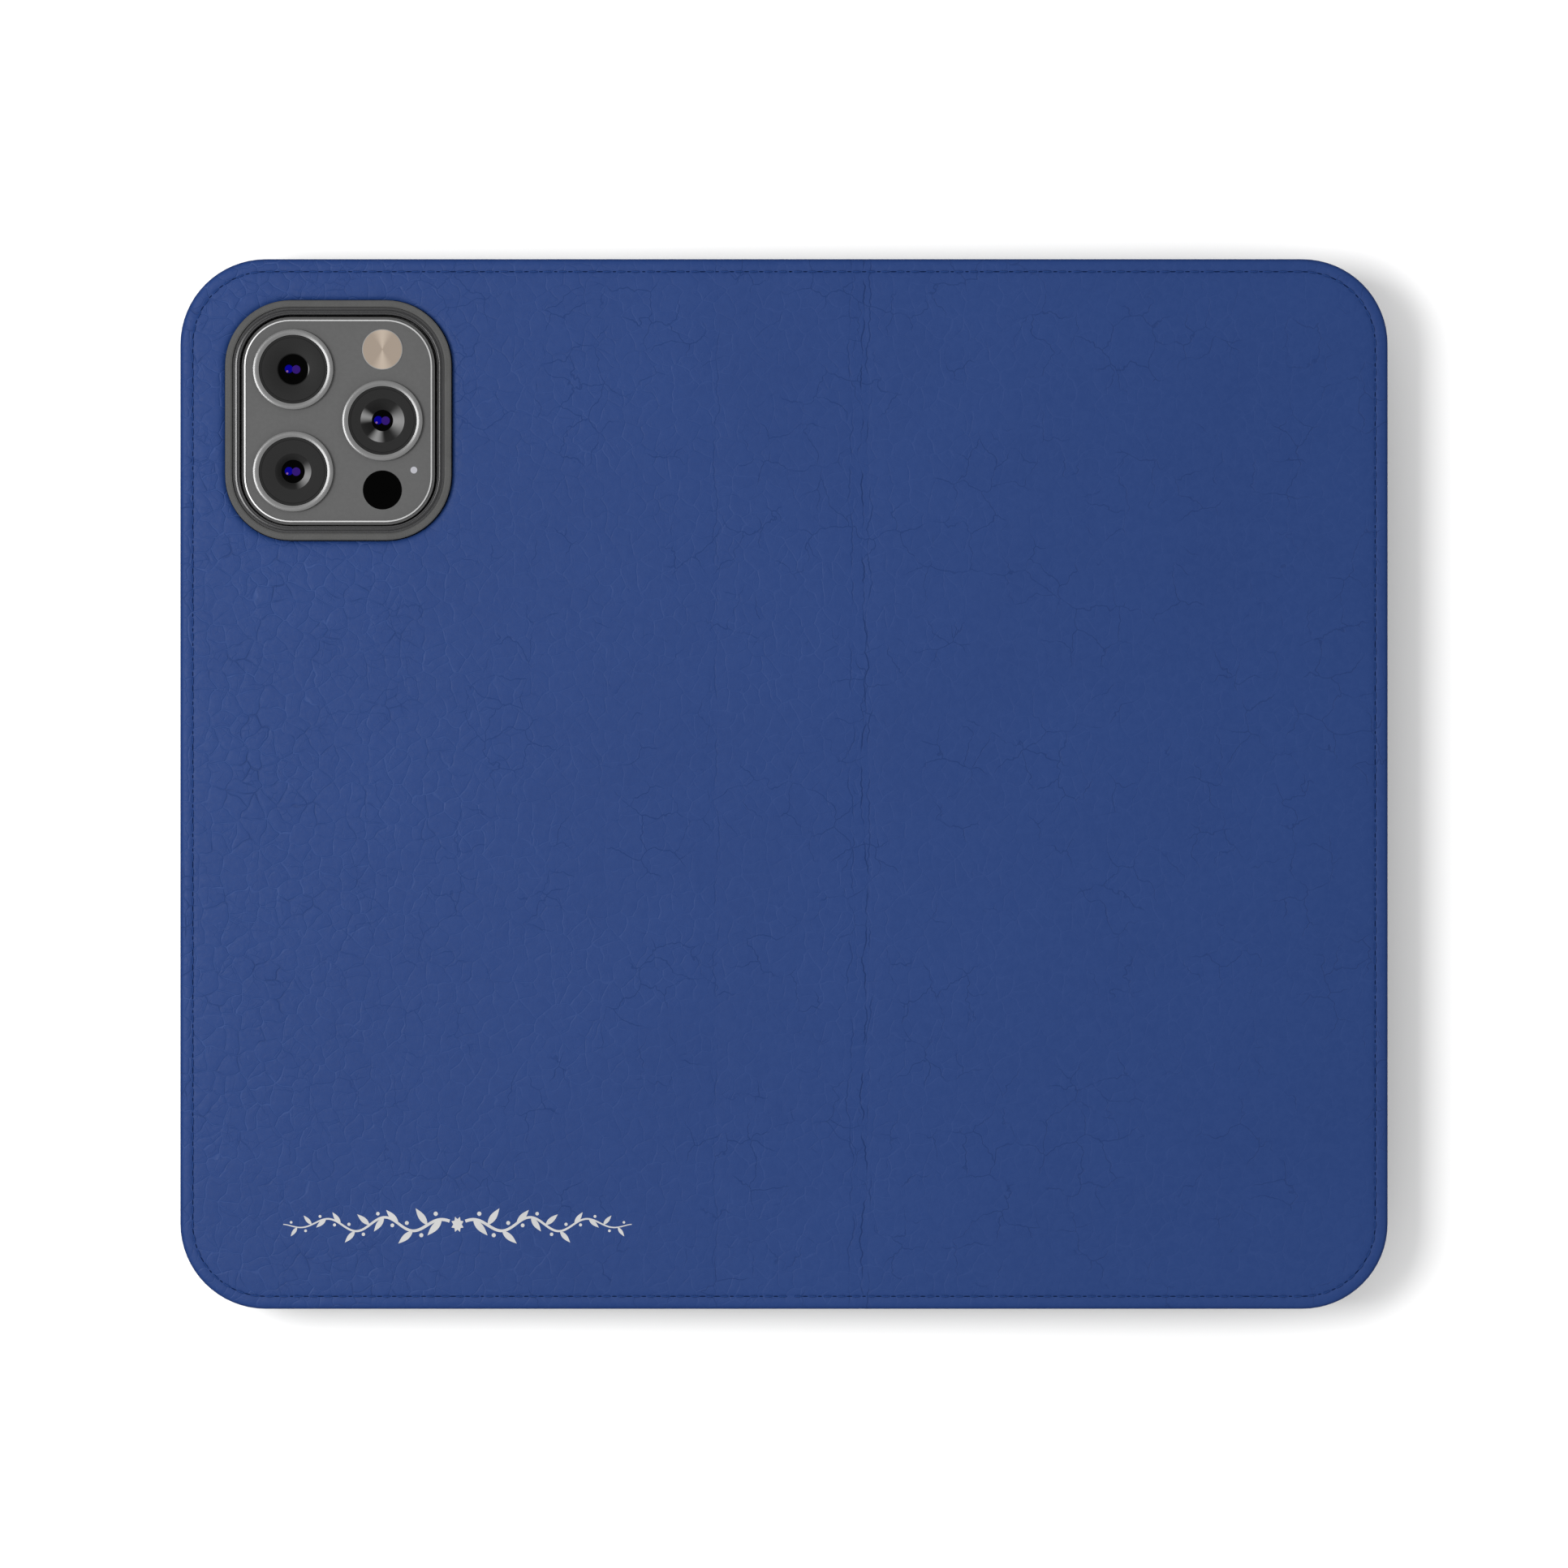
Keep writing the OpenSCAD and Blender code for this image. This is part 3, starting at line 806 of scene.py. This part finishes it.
class Seam:
    """Stitches and patches of painted needle-hole shade in one mesh; up is 1 on a face that looks up, -1 on
    one that looks down.
    """

    def __init__(self, up, radius, dip):
        self.verts, self.faces, self.mats = [], [], []
        self.up, self.radius, self.dip = up, radius, dip

    def stitch(self, walked, level, s0, length):
        """A short thread that rises out of one needle hole and goes down in the next."""
        rings, sides = 7, 6
        first = len(self.verts)
        for i in range(rings):
            t = i / (rings - 1)
            p, d = at(walked, s0 + length * t)
            lift = math.sin(math.pi * t) ** 0.6 if 0 < t < 1 else 0.0
            z = level(p.x, p.y) + self.up * (-self.dip + (self.dip + self.radius * 0.75) * lift)
            r = self.radius * (0.72 + 0.28 * lift)
            for k in range(sides):
                a = 2 * math.pi * k / sides
                across, rise = r * math.cos(a), 0.8 * r * math.sin(a)
                self.verts.append((p.x - d.y * across, p.y + d.x * across, z + self.up * rise))
        for i in range(rings - 1):
            a, b = first + i * sides, first + (i + 1) * sides
            for k in range(sides):
                j = (k + 1) % sides
                self.faces.append((a + k, a + j, b + j, b + k))
        self.faces.append(tuple(first + k for k in reversed(range(sides))))
        self.faces.append(tuple(first + (rings - 1) * sides + k for k in range(sides)))
        self.mats += [0] * ((rings - 1) * sides + 2)

    def hole(self, walked, level, s, long_r, wide_r):
        """A dark patch of painted shade between two stitches, where the needle went through: rim, raised
        middle, foot.
        """
        sides = 10
        p, d = at(walked, s)
        rim = len(self.verts)
        top, foot = rim + sides, rim + 2 * sides
        z = level(p.x, p.y) + self.up * 0.02
        for size, dz in ((1.0, 0.0), (0.55, 0.012), (1.0, -0.15)):
            for k in range(sides):
                a = 2 * math.pi * k / sides
                u, v = long_r * size * math.cos(a), wide_r * size * math.sin(a)
                self.verts.append((p.x + d.x * u - d.y * v, p.y + d.y * u + d.x * v, z + self.up * dz))
        for k in range(sides):
            j = (k + 1) % sides
            self.faces.append((rim + k, rim + j, top + j, top + k))
            self.faces.append((rim + j, rim + k, foot + k, foot + j))
        self.faces.append(tuple(top + k for k in range(sides)))
        self.faces.append(tuple(foot + k for k in reversed(range(sides))))
        self.mats += [1] * (2 * sides + 2)

    def piece(self, name, body=None):
        mats = [THREAD, HOLE_SHADE]
        return make(name, self.verts, self.faces, mats, body, face_mats=self.mats, clean=True)


def edge_seam(name, path, level, up):
    """The stitching along the edge, with slightly uneven stitches and patches of painted needle-hole shade.
    """
    seam = Seam(up, 0.13, 0.16)
    walked = walk(path)
    total = walked[-1][0]
    count = int(total / PITCH)
    step = total / count
    for i in range(count):
        s0 = i * step + GAP / 2 + random.uniform(-0.05, 0.05)
        seam.stitch(walked, level, s0, step - GAP)
        seam.hole(walked, level, i * step, HOLE_LONG * random.uniform(0.65, 1.45), HOLE_WIDE)
    return seam.piece(name)


for side, half in ((-1, "back_half"), (1, "cover_half")):
    path = case_half_path(side, STITCH_D)
    outer = edge_seam("edge_stitches_" + half, path, leather_top, 1)
    bend(outer)
    inner = edge_seam("lining_stitches_" + half, path, lining_bottom, -1)
    bend(inner)
    if side < 0:
        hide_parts("back_stitching", "spine_stitching")
    else:
        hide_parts("cover_stitching")

# ---------------------------------------------------------------- camera window collars and tray lip


def tray_path(off):
    return rr_path(TRAY_X, 0, TRAY_W / 2 + off, TRAY_H / 2 + off, TRAY_R + off, 2.0, 18)


def bead(name, mat, path, profile):
    verts, faces = sweep_ring(path, profile)
    make(name, verts, faces, mat, "back_panel", clean=True)


bead(
    "window_outer_lip", SHELL, window_path,
    [
        (2.02, 11.9), (2.03, 13.00), (2.03, 13.06), (2.00, 13.15), (1.93, 13.21), (1.85, 13.23),
        (1.81, 13.23), (1.26, 13.23), (1.22, 13.23), (1.13, 13.21), (1.05, 13.14), (1.02, 13.04),
        (1.02, 12.98), (1.04, 12.0),
    ],
)
bead(
    "window_inner_ring", GLOSS, window_path,
    [
        (0.66, 12.70), (0.66, 12.80), (0.64, 12.825), (0.60, 12.84), (0.38, 12.895), (0.32, 12.90),
        (0.26, 12.885), (0.20, 12.84), (0.12, 12.70), (0.02, 12.40), (-0.06, 12.05), (-0.08, 11.85),
        (-0.08, 11.6), (0.2, 11.5), (0.45, 12.0),
    ],
)
bead(
    "tray_lip_bead", LINER, tray_path,
    [
        (0.03, 1.15), (0.08, 0.85), (0.07, 0.5), (-0.03, 0.24), (-0.25, 0.06), (-0.6, 0.0), (-1.6, 0.0),
        (-2.2, 0.05), (-2.52, 0.2), (-2.68, 0.48), (-2.68, 0.75), (-2.55, 0.98), (-2.3, 1.02), (-1.4, 0.9),
    ],
)

# ---------------------------------------------------------------- printed ornament


# ends of the garland, its height on the panel, and the print's lower and upper faces
GARLAND_LEFT, GARLAND_RIGHT, GARLAND_Y = -73.0, -22.2, -64.2
PRINT_LOW, PRINT_TOP = OUTER_Z - 0.10, OUTER_Z + 0.015
LEAVES, WAVES, STEM_STEPS = 11, 3.0, 120


def flat_shape(verts, faces, outline, z0, z1):
    """A thin plate with the outline given."""
    first, n = len(verts), len(outline)
    verts += [(x, y, z0) for x, y in outline] + [(x, y, z1) for x, y in outline]
    faces.append(tuple(first + n + i for i in range(n)))
    faces.append(tuple(first + i for i in reversed(range(n))))
    for i in range(n):
        j = (i + 1) % n
        faces.append((first + i, first + j, first + n + j, first + n + i))


def ribbon(verts, faces, points, widths, z0, z1):
    """A flat strip along a line of points."""
    first, n = len(verts), len(points)
    for i, (x, y) in enumerate(points):
        a, b = points[max(i - 1, 0)], points[min(i + 1, n - 1)]
        d = Vector((b[0] - a[0], b[1] - a[1])).normalized() * widths[i] / 2
        for sx, z in ((1, z1), (-1, z1), (-1, z0), (1, z0)):
            verts.append((x - d.y * sx, y + d.x * sx, z))
    for i in range(n - 1):
        a, b = first + 4 * i, first + 4 * (i + 1)
        for k in range(4):
            j = (k + 1) % 4
            faces.append((a + k, a + j, b + j, b + k))
    faces.append(tuple(first + k for k in range(4)))
    faces.append(tuple(first + 4 * (n - 1) + k for k in (3, 2, 1, 0)))


def leaf(x, y, angle, length, width):
    """Outline of an almond-shaped leaf that starts at a point."""
    out = []
    for side in (1, -1):
        for i in range(8):
            t = i / 8 if side > 0 else 1 - i / 8
            bulge = side * width * math.sin(math.pi * t ** 0.85) / 2
            out.append((length * t, bulge))
    ca, sa = math.cos(angle), math.sin(angle)
    return [(x + u * ca - v * sa, y + u * sa + v * ca) for u, v in out]


def ornament():
    """A printed garland: two leafy stems that run out from a small bud in the middle."""
    verts, faces = [], []
    mid, reach = (GARLAND_LEFT + GARLAND_RIGHT) / 2, (GARLAND_RIGHT - GARLAND_LEFT) / 2

    def stem(side, t):
        swing = 1.15 * math.sin(math.pi * min(0.10 + t * 0.9, 1.0)) ** 0.6
        return mid + side * reach * t, GARLAND_Y + 0.9 * swing * math.sin(2 * math.pi * WAVES * t)

    bud = []
    for k in range(16):
        r, a = 0.95 if k % 2 else 0.62, math.pi * k / 8
        bud.append((mid + r * math.cos(a), GARLAND_Y + 1.25 * r * math.sin(a)))
    flat_shape(verts, faces, bud, PRINT_LOW, PRINT_TOP)
    for side in (-1, 1):
        points = [stem(side, 0.045 + 0.955 * i / STEM_STEPS) for i in range(STEM_STEPS + 1)]
        widths = [0.12 + 0.34 * (1 - i / STEM_STEPS) ** 0.7 for i in range(STEM_STEPS + 1)]
        ribbon(verts, faces, points, widths, PRINT_LOW, PRINT_TOP)
        for k in range(LEAVES):
            t = 0.09 + 0.083 * k
            up = 1 if k % 2 else -1
            size = 1.0 - 0.55 * t
            angle = up * math.radians(48 + 8 * math.sin(k * 2.1))
            if side < 0:
                angle = math.pi - angle
            # a leaf is a hair higher than the stem, so that the two don't share a plane
            outline = leaf(*stem(side, t), angle, 3.3 * size, 1.05 * size)
            flat_shape(verts, faces, outline, PRINT_LOW, PRINT_TOP + 0.006)
            x, y = stem(side, t + 0.035)
            berry = circle(x, y - up * 1.05 * size, 0.27 * size + 0.06, 12)
            flat_shape(verts, faces, berry, PRINT_LOW, PRINT_TOP)
    make("printed_ornament", verts, faces, PRINT, "back_panel", smooth=False, clean=True)


ornament()

# ---------------------------------------------------------------- card and cash pockets


# spacing of a pocket face's net, its rounded rim, its hem's width and drop, and the cash pocket's corner
POCKET_NET, RIM, HEM, HEM_DROP = 2.2, 0.18, 3.2, 0.14
CASH_CORNER = 9.9
CARD_SLOTS = ("card_slot_upper", "card_slot_middle", "card_slot_lower")


def spaced(a, b):
    """Even steps from a to b, with close ones for the rounded rim."""
    n = max(8, round((b - a) / POCKET_NET))
    inner = [a + RIM + (b - a - 2 * RIM) * i / n for i in range(n + 1)]
    return [a, a + RIM * 0.3] + inner + [b - RIM * 0.3, b]


def hemmed_panel(name, node, mouth, corner=0.0):
    """A pocket face with soft edges, a slight swell and a folded hem along its mouth ("+y" or "-x")."""
    lo, hi = box_mm(node)
    w, h = hi.x - lo.x, hi.y - lo.y
    xs, ys = spaced(lo.x, hi.x), spaced(lo.y, hi.y)
    for extra in (HEM, HEM + 0.25, HEM + 0.6):
        if mouth == "+y":
            ys = sorted(ys + [hi.y - extra])
        else:
            xs = sorted(xs + [lo.x + extra])

    def place(x, y):
        """Rounds the corners on the free side by sliding points inwards."""
        if corner and x > hi.x - corner and abs(y) > hi.y - corner:
            cx, cy = hi.x - corner, math.copysign(hi.y - corner, y)
            u, v = (x - cx) / corner, (y - cy) / corner
            return cx + corner * u * math.sqrt(1 - v * v / 2), cy + corner * v * math.sqrt(1 - u * u / 2)
        return x, y

    def heights(x, y):
        """The outer, lower face and the inner face."""
        d = min(x - lo.x, hi.x - x, y - lo.y, hi.y - y)
        edge = RIM * (1 - math.sqrt(max(0.0, 1 - (1 - min(d / RIM, 1.0)) ** 2)))
        to_mouth = (hi.y - y) if mouth == "+y" else (x - lo.x)
        fold = 1.0 if to_mouth <= HEM else max(0.0, 1 - (to_mouth - HEM) / 0.5)
        swell = 0.05 * math.sin(math.pi * (x - lo.x) / w) * math.sin(math.pi * (y - lo.y) / h)
        wave = 0.03 * noise.noise(Vector((x * 0.09, y * 0.09, lo.z)))
        return lo.z + edge - HEM_DROP * fold - swell - wave, hi.z - edge * 0.6

    verts, faces = [], []
    rows, cols = len(ys), len(xs)
    for layer in (0, 1):
        verts += [(*place(x, y), heights(x, y)[layer]) for y in ys for x in xs]
    n = rows * cols
    for j in range(rows - 1):
        for i in range(cols - 1):
            a = j * cols + i
            faces.append((a + cols, a + cols + 1, a + 1, a))
            faces.append((n + a, n + a + 1, n + a + cols + 1, n + a + cols))
    ring = list(range(cols))
    ring += [j * cols + cols - 1 for j in range(1, rows)]
    ring += [(rows - 1) * cols + i for i in range(cols - 2, -1, -1)]
    ring += [j * cols for j in range(rows - 2, 0, -1)]
    for a, b in zip(ring, ring[1:] + ring[:1]):
        faces.append((a, b, n + b, n + a))
    ob = make(name, verts, faces, POCKET, "front_cover", clean=True)
    keep_edges(ob, 60)
    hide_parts(node)


hemmed_panel("cash_pocket_face", "cash_pocket_panel", "-x", corner=CASH_CORNER)
for node in CARD_SLOTS:
    hemmed_panel(node + "_face", node, "+y")


def level_of(z):
    return lambda x, y: z


def pocket_seam(name, lines):
    """Rows of stitches, each a path and its height, as one piece."""
    seam = Seam(-1, 0.17, 0.14)
    for path, z in lines:
        walked = walk(path)
        total = walked[-1][0]
        count = max(1, int(total / POCKET_PITCH))
        step = total / count
        for i in range(count):
            seam.stitch(walked, level_of(z), i * step + POCKET_GAP / 2, step - POCKET_GAP)
            seam.hole(walked, level_of(z), i * step, 0.32, 0.14)
    return seam.piece(name, "front_cover")


def card_slot_lines():
    """Down both sides of each slot, along its hem, and along the foot of the lowest."""
    side_in, hem_in = 1.2, 1.9
    boxes = [box_mm(node) for node in CARD_SLOTS]
    lines = []
    for i, (lo, hi) in enumerate(boxes):
        foot = boxes[i + 1][1].y + 0.4 if i + 1 < len(boxes) else lo.y + side_in
        for x in (lo.x + side_in, hi.x - side_in):
            lines.append(([(x, hi.y - 0.7), (x, foot)], lo.z - 0.02))
        hem_y = hi.y - HEM + 0.7
        lines.append(([(lo.x + hem_in, hem_y), (hi.x - hem_in, hem_y)], lo.z - HEM_DROP - 0.02))
    lo, hi = boxes[-1]
    lines.append(([(lo.x + side_in, lo.y + side_in), (hi.x - side_in, lo.y + side_in)], lo.z - 0.02))
    return lines


def cash_pocket_lines():
    """Round the three closed sides with the corners, and along the hem of the mouth."""
    side_in = 1.4
    lo, hi = box_mm("cash_pocket_panel")
    r = CASH_CORNER - side_in
    x, start = hi.x - side_in - r, lo.x + 0.7
    top, foot = hi.y - side_in, lo.y + side_in
    turns = [math.radians(90 * i / 12) for i in range(13)]
    sides = [(start, top)]
    sides += [(x + r * math.sin(a), top - r + r * math.cos(a)) for a in turns]
    sides += [(x + r * math.cos(a), foot + r - r * math.sin(a)) for a in turns]
    sides += [(start, foot)]
    hem_x = lo.x + HEM - 0.7
    mouth = [(hem_x, lo.y + 2.2), (hem_x, hi.y - 2.2)]
    return [(sides, lo.z - 0.02), (mouth, lo.z - HEM_DROP - 0.02)]


seam = pocket_seam("pocket_stitches", card_slot_lines())
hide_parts("pocket_stitching")
pocket_seam("cash_pocket_stitches", cash_pocket_lines())

# ---------------------------------------------------------------- materials of the CAD nodes that show


def paint(mat, *nodes):
    for node in nodes:
        ob = frame["nodes"][node]
        ob.data.materials.clear()
        ob.data.materials.append(mat)
        ob.data.polygons.foreach_set("use_smooth", [True] * len(ob.data.polygons))
        keep_edges(ob, 30)


paint(BOARD, "back_board", "spine_board", "cover_board")
paint(SEAM, "cash_pocket_seams", "card_slot_seams")
paint(BUTTON, "volume_up_cap", "volume_down_cap", "side_button_cap")
paint(SHELL, "tray_shell")
paint(LINER, "tray_liner")
paint(TAPE, "tray_adhesive")
paint(METAL, "closure_strip", "closure_magnets")

# ---------------------------------------------------------------- floor

FLOOR = Tree("pale_floor").shader(Base_Color=grey(0.93), Roughness=0.85, Specular_IOR_Level=0.1)
FAR = 3000.0
# how far the floor is below the case, so that the two don't share a plane
FLOOR_DROP = 0.0001
floor = make("floor", [(-FAR, -FAR, 0), (FAR, -FAR, 0), (FAR, FAR, 0), (-FAR, FAR, 0)], [(0, 1, 2, 3)], FLOOR)
floor.location.z = -FLOOR_DROP

# ---------------------------------------------------------------- the phone that the tray is shown with


# camera plate: size, corner and middle; then half the phone's size and its corner
PLATE_W, PLATE_H, PLATE_R = 27.5, 29.6, 6.8
PLATE_X, PLATE_Y = -65.05, 52.97
PHONE_HALF_W, PHONE_HALF_H, PHONE_R = 35.75, 73.35, 10.0
# columns of the camera's round parts, and the height at which they stand in the plate
CAMERA_LEFT, CAMERA_RIGHT, CAMERA_FOOT = -71.58, -58.6, 11.7


def plate_path(off):
    return rr_path(PLATE_X, PLATE_Y, PLATE_W / 2 + off, PLATE_H / 2 + off, PLATE_R + off, 1.5, 14)


def phone_path(off):
    return rr_path(TRAY_X, 0, PHONE_HALF_W + off, PHONE_HALF_H + off, PHONE_R + off, 3.0, 14)


def lid(name, path, rows, mats):
    """A shape from its outside in, closed with one face: rows of (offset, z, material index)."""
    n = len(path(0))
    verts, faces, face_mats = [], [], []
    for off, z, _ in rows:
        verts += [(x, y, z) for x, y in path(off)]
    for j, (_, _, mat) in enumerate(rows[1:]):
        for i in range(n):
            k = (i + 1) % n
            faces.append((j * n + i, j * n + k, (j + 1) * n + k, (j + 1) * n + i))
            face_mats.append(mat)
    last = (len(rows) - 1) * n
    faces.append(tuple(last + i for i in range(n)))
    face_mats.append(rows[-1][2])
    ob = make(name, verts, faces, mats, face_mats=face_mats)
    keep_edges(ob, 35)


def disc(name, cx, cy, rows, mats, n=96):
    """A turned shape; the offset in its rows is the radius."""
    lid(name, lambda r: circle(cx, cy, r, n), rows, mats)


def turned_material(name, cx, cy, glows, dark, light, rough):
    """Lighter in some directions from the centre; glows are (direction, width). On the lens walls these are
    painted reflections of turned metal; on the flash they are lighter bands up and down.
    """
    t = Tree(name)
    x, y, _ = t.split(t.vec("SUBTRACT", t.rest(), (cx, cy, 0)))
    angle = t.math("ARCTAN2", y, x)
    glow = 0.0
    for direction, width in glows:
        off = t.math("ABSOLUTE", t.math("WRAP", t.sub(angle, direction), math.pi, -math.pi))
        glow = t.add(glow, t.remap(off, 0.0, width, 1.0, 0.0))
    return t.shader(Base_Color=t.mix(glow, dark, light), Roughness=rough, Specular_IOR_Level=0.1)


def flat_material(name, color, rough, metallic=0.0, spec=0.5):
    """An almost even colour."""
    t = Tree(name)
    tone = t.remap(t.noise(t.rest(), 2.0, 3), 0.3, 0.7)
    color = t.mix(tone, color, darker(color, 0.06))
    return t.shader(Base_Color=color, Roughness=rough, Metallic=metallic, Specular_IOR_Level=spec)


PLATE_GLASS = flat_material("phone_plate_glass", grey(0.075), 0.55, spec=0.2)
BACK_GLASS = flat_material("phone_back_glass", grey(0.10), 0.5)
LENS_RING = flat_material("phone_lens_ring", grey(0.105), 0.22, spec=0.8)
BRIGHT_RIM = flat_material("phone_bright_rim", grey(0.46), 0.35, 0.4)
LENS_BLACK = flat_material("phone_lens_black", grey(0.0070), 0.5, spec=0.12)
BLACK = flat_material("phone_black", grey(0.0012), 0.6, spec=0.0)
FLASH_RIM = flat_material("phone_flash_ring", grey(0.20), 0.5, spec=0.3)
MICROPHONE = flat_material("phone_mic", (0.30, 0.30, 0.33), 0.5)
# painted reflections in a lens, as flat coloured discs: place from its middle, radius, material
GLINTS = (
    (-0.62, 0.05, 0.60, flat_material("phone_lens_painted_blue_reflection", (0.002, 0.001, 0.170), 0.5, spec=0.0)),
    (0.45, -0.02, 0.62, flat_material("phone_lens_painted_violet_reflection", (0.022, 0.007, 0.110), 0.5, spec=0.0)),
    (-0.86, -0.30, 0.16, flat_material("phone_lens_painted_pink_reflection", (0.16, 0.07, 0.20), 0.5, spec=0.0)),
)

lid(
    "phone_camera_plate", plate_path,
    [
        (0.34, 8.4, 1), (0.34, 11.75, 1), (0.06, 11.78, 1), (0.0, 11.86, 1),
        (-0.05, 11.93, 0), (-0.20, 11.95, 0), (-0.25, 11.92, 0), (-0.30, 11.86, 1),
    ],
    [BRIGHT_RIM, PLATE_GLASS],
)
lid(
    "phone_body_back", phone_path,
    [(0.0, 2.0, 0), (0.0, 7.6, 0), (-0.25, 8.2, 0), (-0.8, 8.42, 0)], [BACK_GLASS],
)
lid("phone_body_front", phone_path, [(0.0, 2.0, 0), (-0.25, 1.4, 0), (-0.9, 1.1, 0)], [BLACK])


def lens(name, cx, cy, glows, wall_r, glass_r):
    """A lens: its ring, black barrel, a turned wall with painted reflections that goes down to the glass, and
    discs of painted reflection on the glass.
    """
    wall = turned_material(name + "_wall", cx, cy, glows, grey(0.003), grey(0.17), 0.5)
    ring = [
        (5.86, CAMERA_FOOT, 0), (5.86, 12.42, 0), (5.84, 12.46, 0), (5.66, 12.51, 0), (5.60, 12.515, 0),
        (5.36, 12.515, 0), (5.30, 12.51, 0), (5.02, 12.465, 0),
    ]
    barrel = [(4.96, 12.36, 1), (4.66, 12.34, 1), (4.60, 12.40, 1), (wall_r, 12.38, 1)]
    glass = [(glass_r + 0.06, 12.34, 2), (glass_r, 12.30, 3), (0.05, 12.30, 3)]
    disc(name, cx, cy, ring + barrel + glass, [LENS_RING, LENS_BLACK, wall, BLACK])
    for k, (dx, dy, r, mat) in enumerate(GLINTS):
        z = 12.31 + 0.01 * k
        disc(f"{name}_glint_{k}", cx + dx, cy + dy, [(r, z, 0), (r * 0.5, z + 0.01, 0)], [mat], 24)


lens("phone_lens_upper", CAMERA_LEFT, 60.47, [(0.0, 0.5)], 2.36, 2.15)
lens("phone_lens_lower", CAMERA_LEFT, 45.57, [(-0.35, 1.1)], 2.65, 1.65)
lens("phone_lens_right", CAMERA_RIGHT + 0.05, 53.0, [(-0.05, 1.0), (-1.9, 0.5), (2.9, 0.45)], 3.2, 1.5)

UP, DOWN, FLASH_Y = math.pi / 2, -math.pi / 2, 63.4
FLASH = turned_material(
    "phone_flash", CAMERA_RIGHT, FLASH_Y, [(UP, 0.7), (DOWN, 0.7)],
    (0.25, 0.205, 0.165), (0.36, 0.30, 0.245), 0.6,
)
disc(
    "phone_flash", CAMERA_RIGHT, FLASH_Y,
    [(2.95, CAMERA_FOOT, 0), (2.95, 11.95, 0), (2.85, 11.97, 0), (2.65, 11.95, 1), (0.05, 11.95, 1)],
    [FLASH_RIM, FLASH],
)
disc(
    "phone_depth_sensor", CAMERA_RIGHT, 42.9,
    [(2.85, CAMERA_FOOT, 0), (2.85, 11.90, 0), (2.7, 11.91, 0), (0.05, 11.91, 0)], [BLACK],
)
disc(
    "phone_microphone", -54.0, 45.8,
    [(0.5, 11.8, 0), (0.5, 11.90, 0), (0.3, 11.91, 0), (0.02, 11.91, 0)], [MICROPHONE], 24,
)
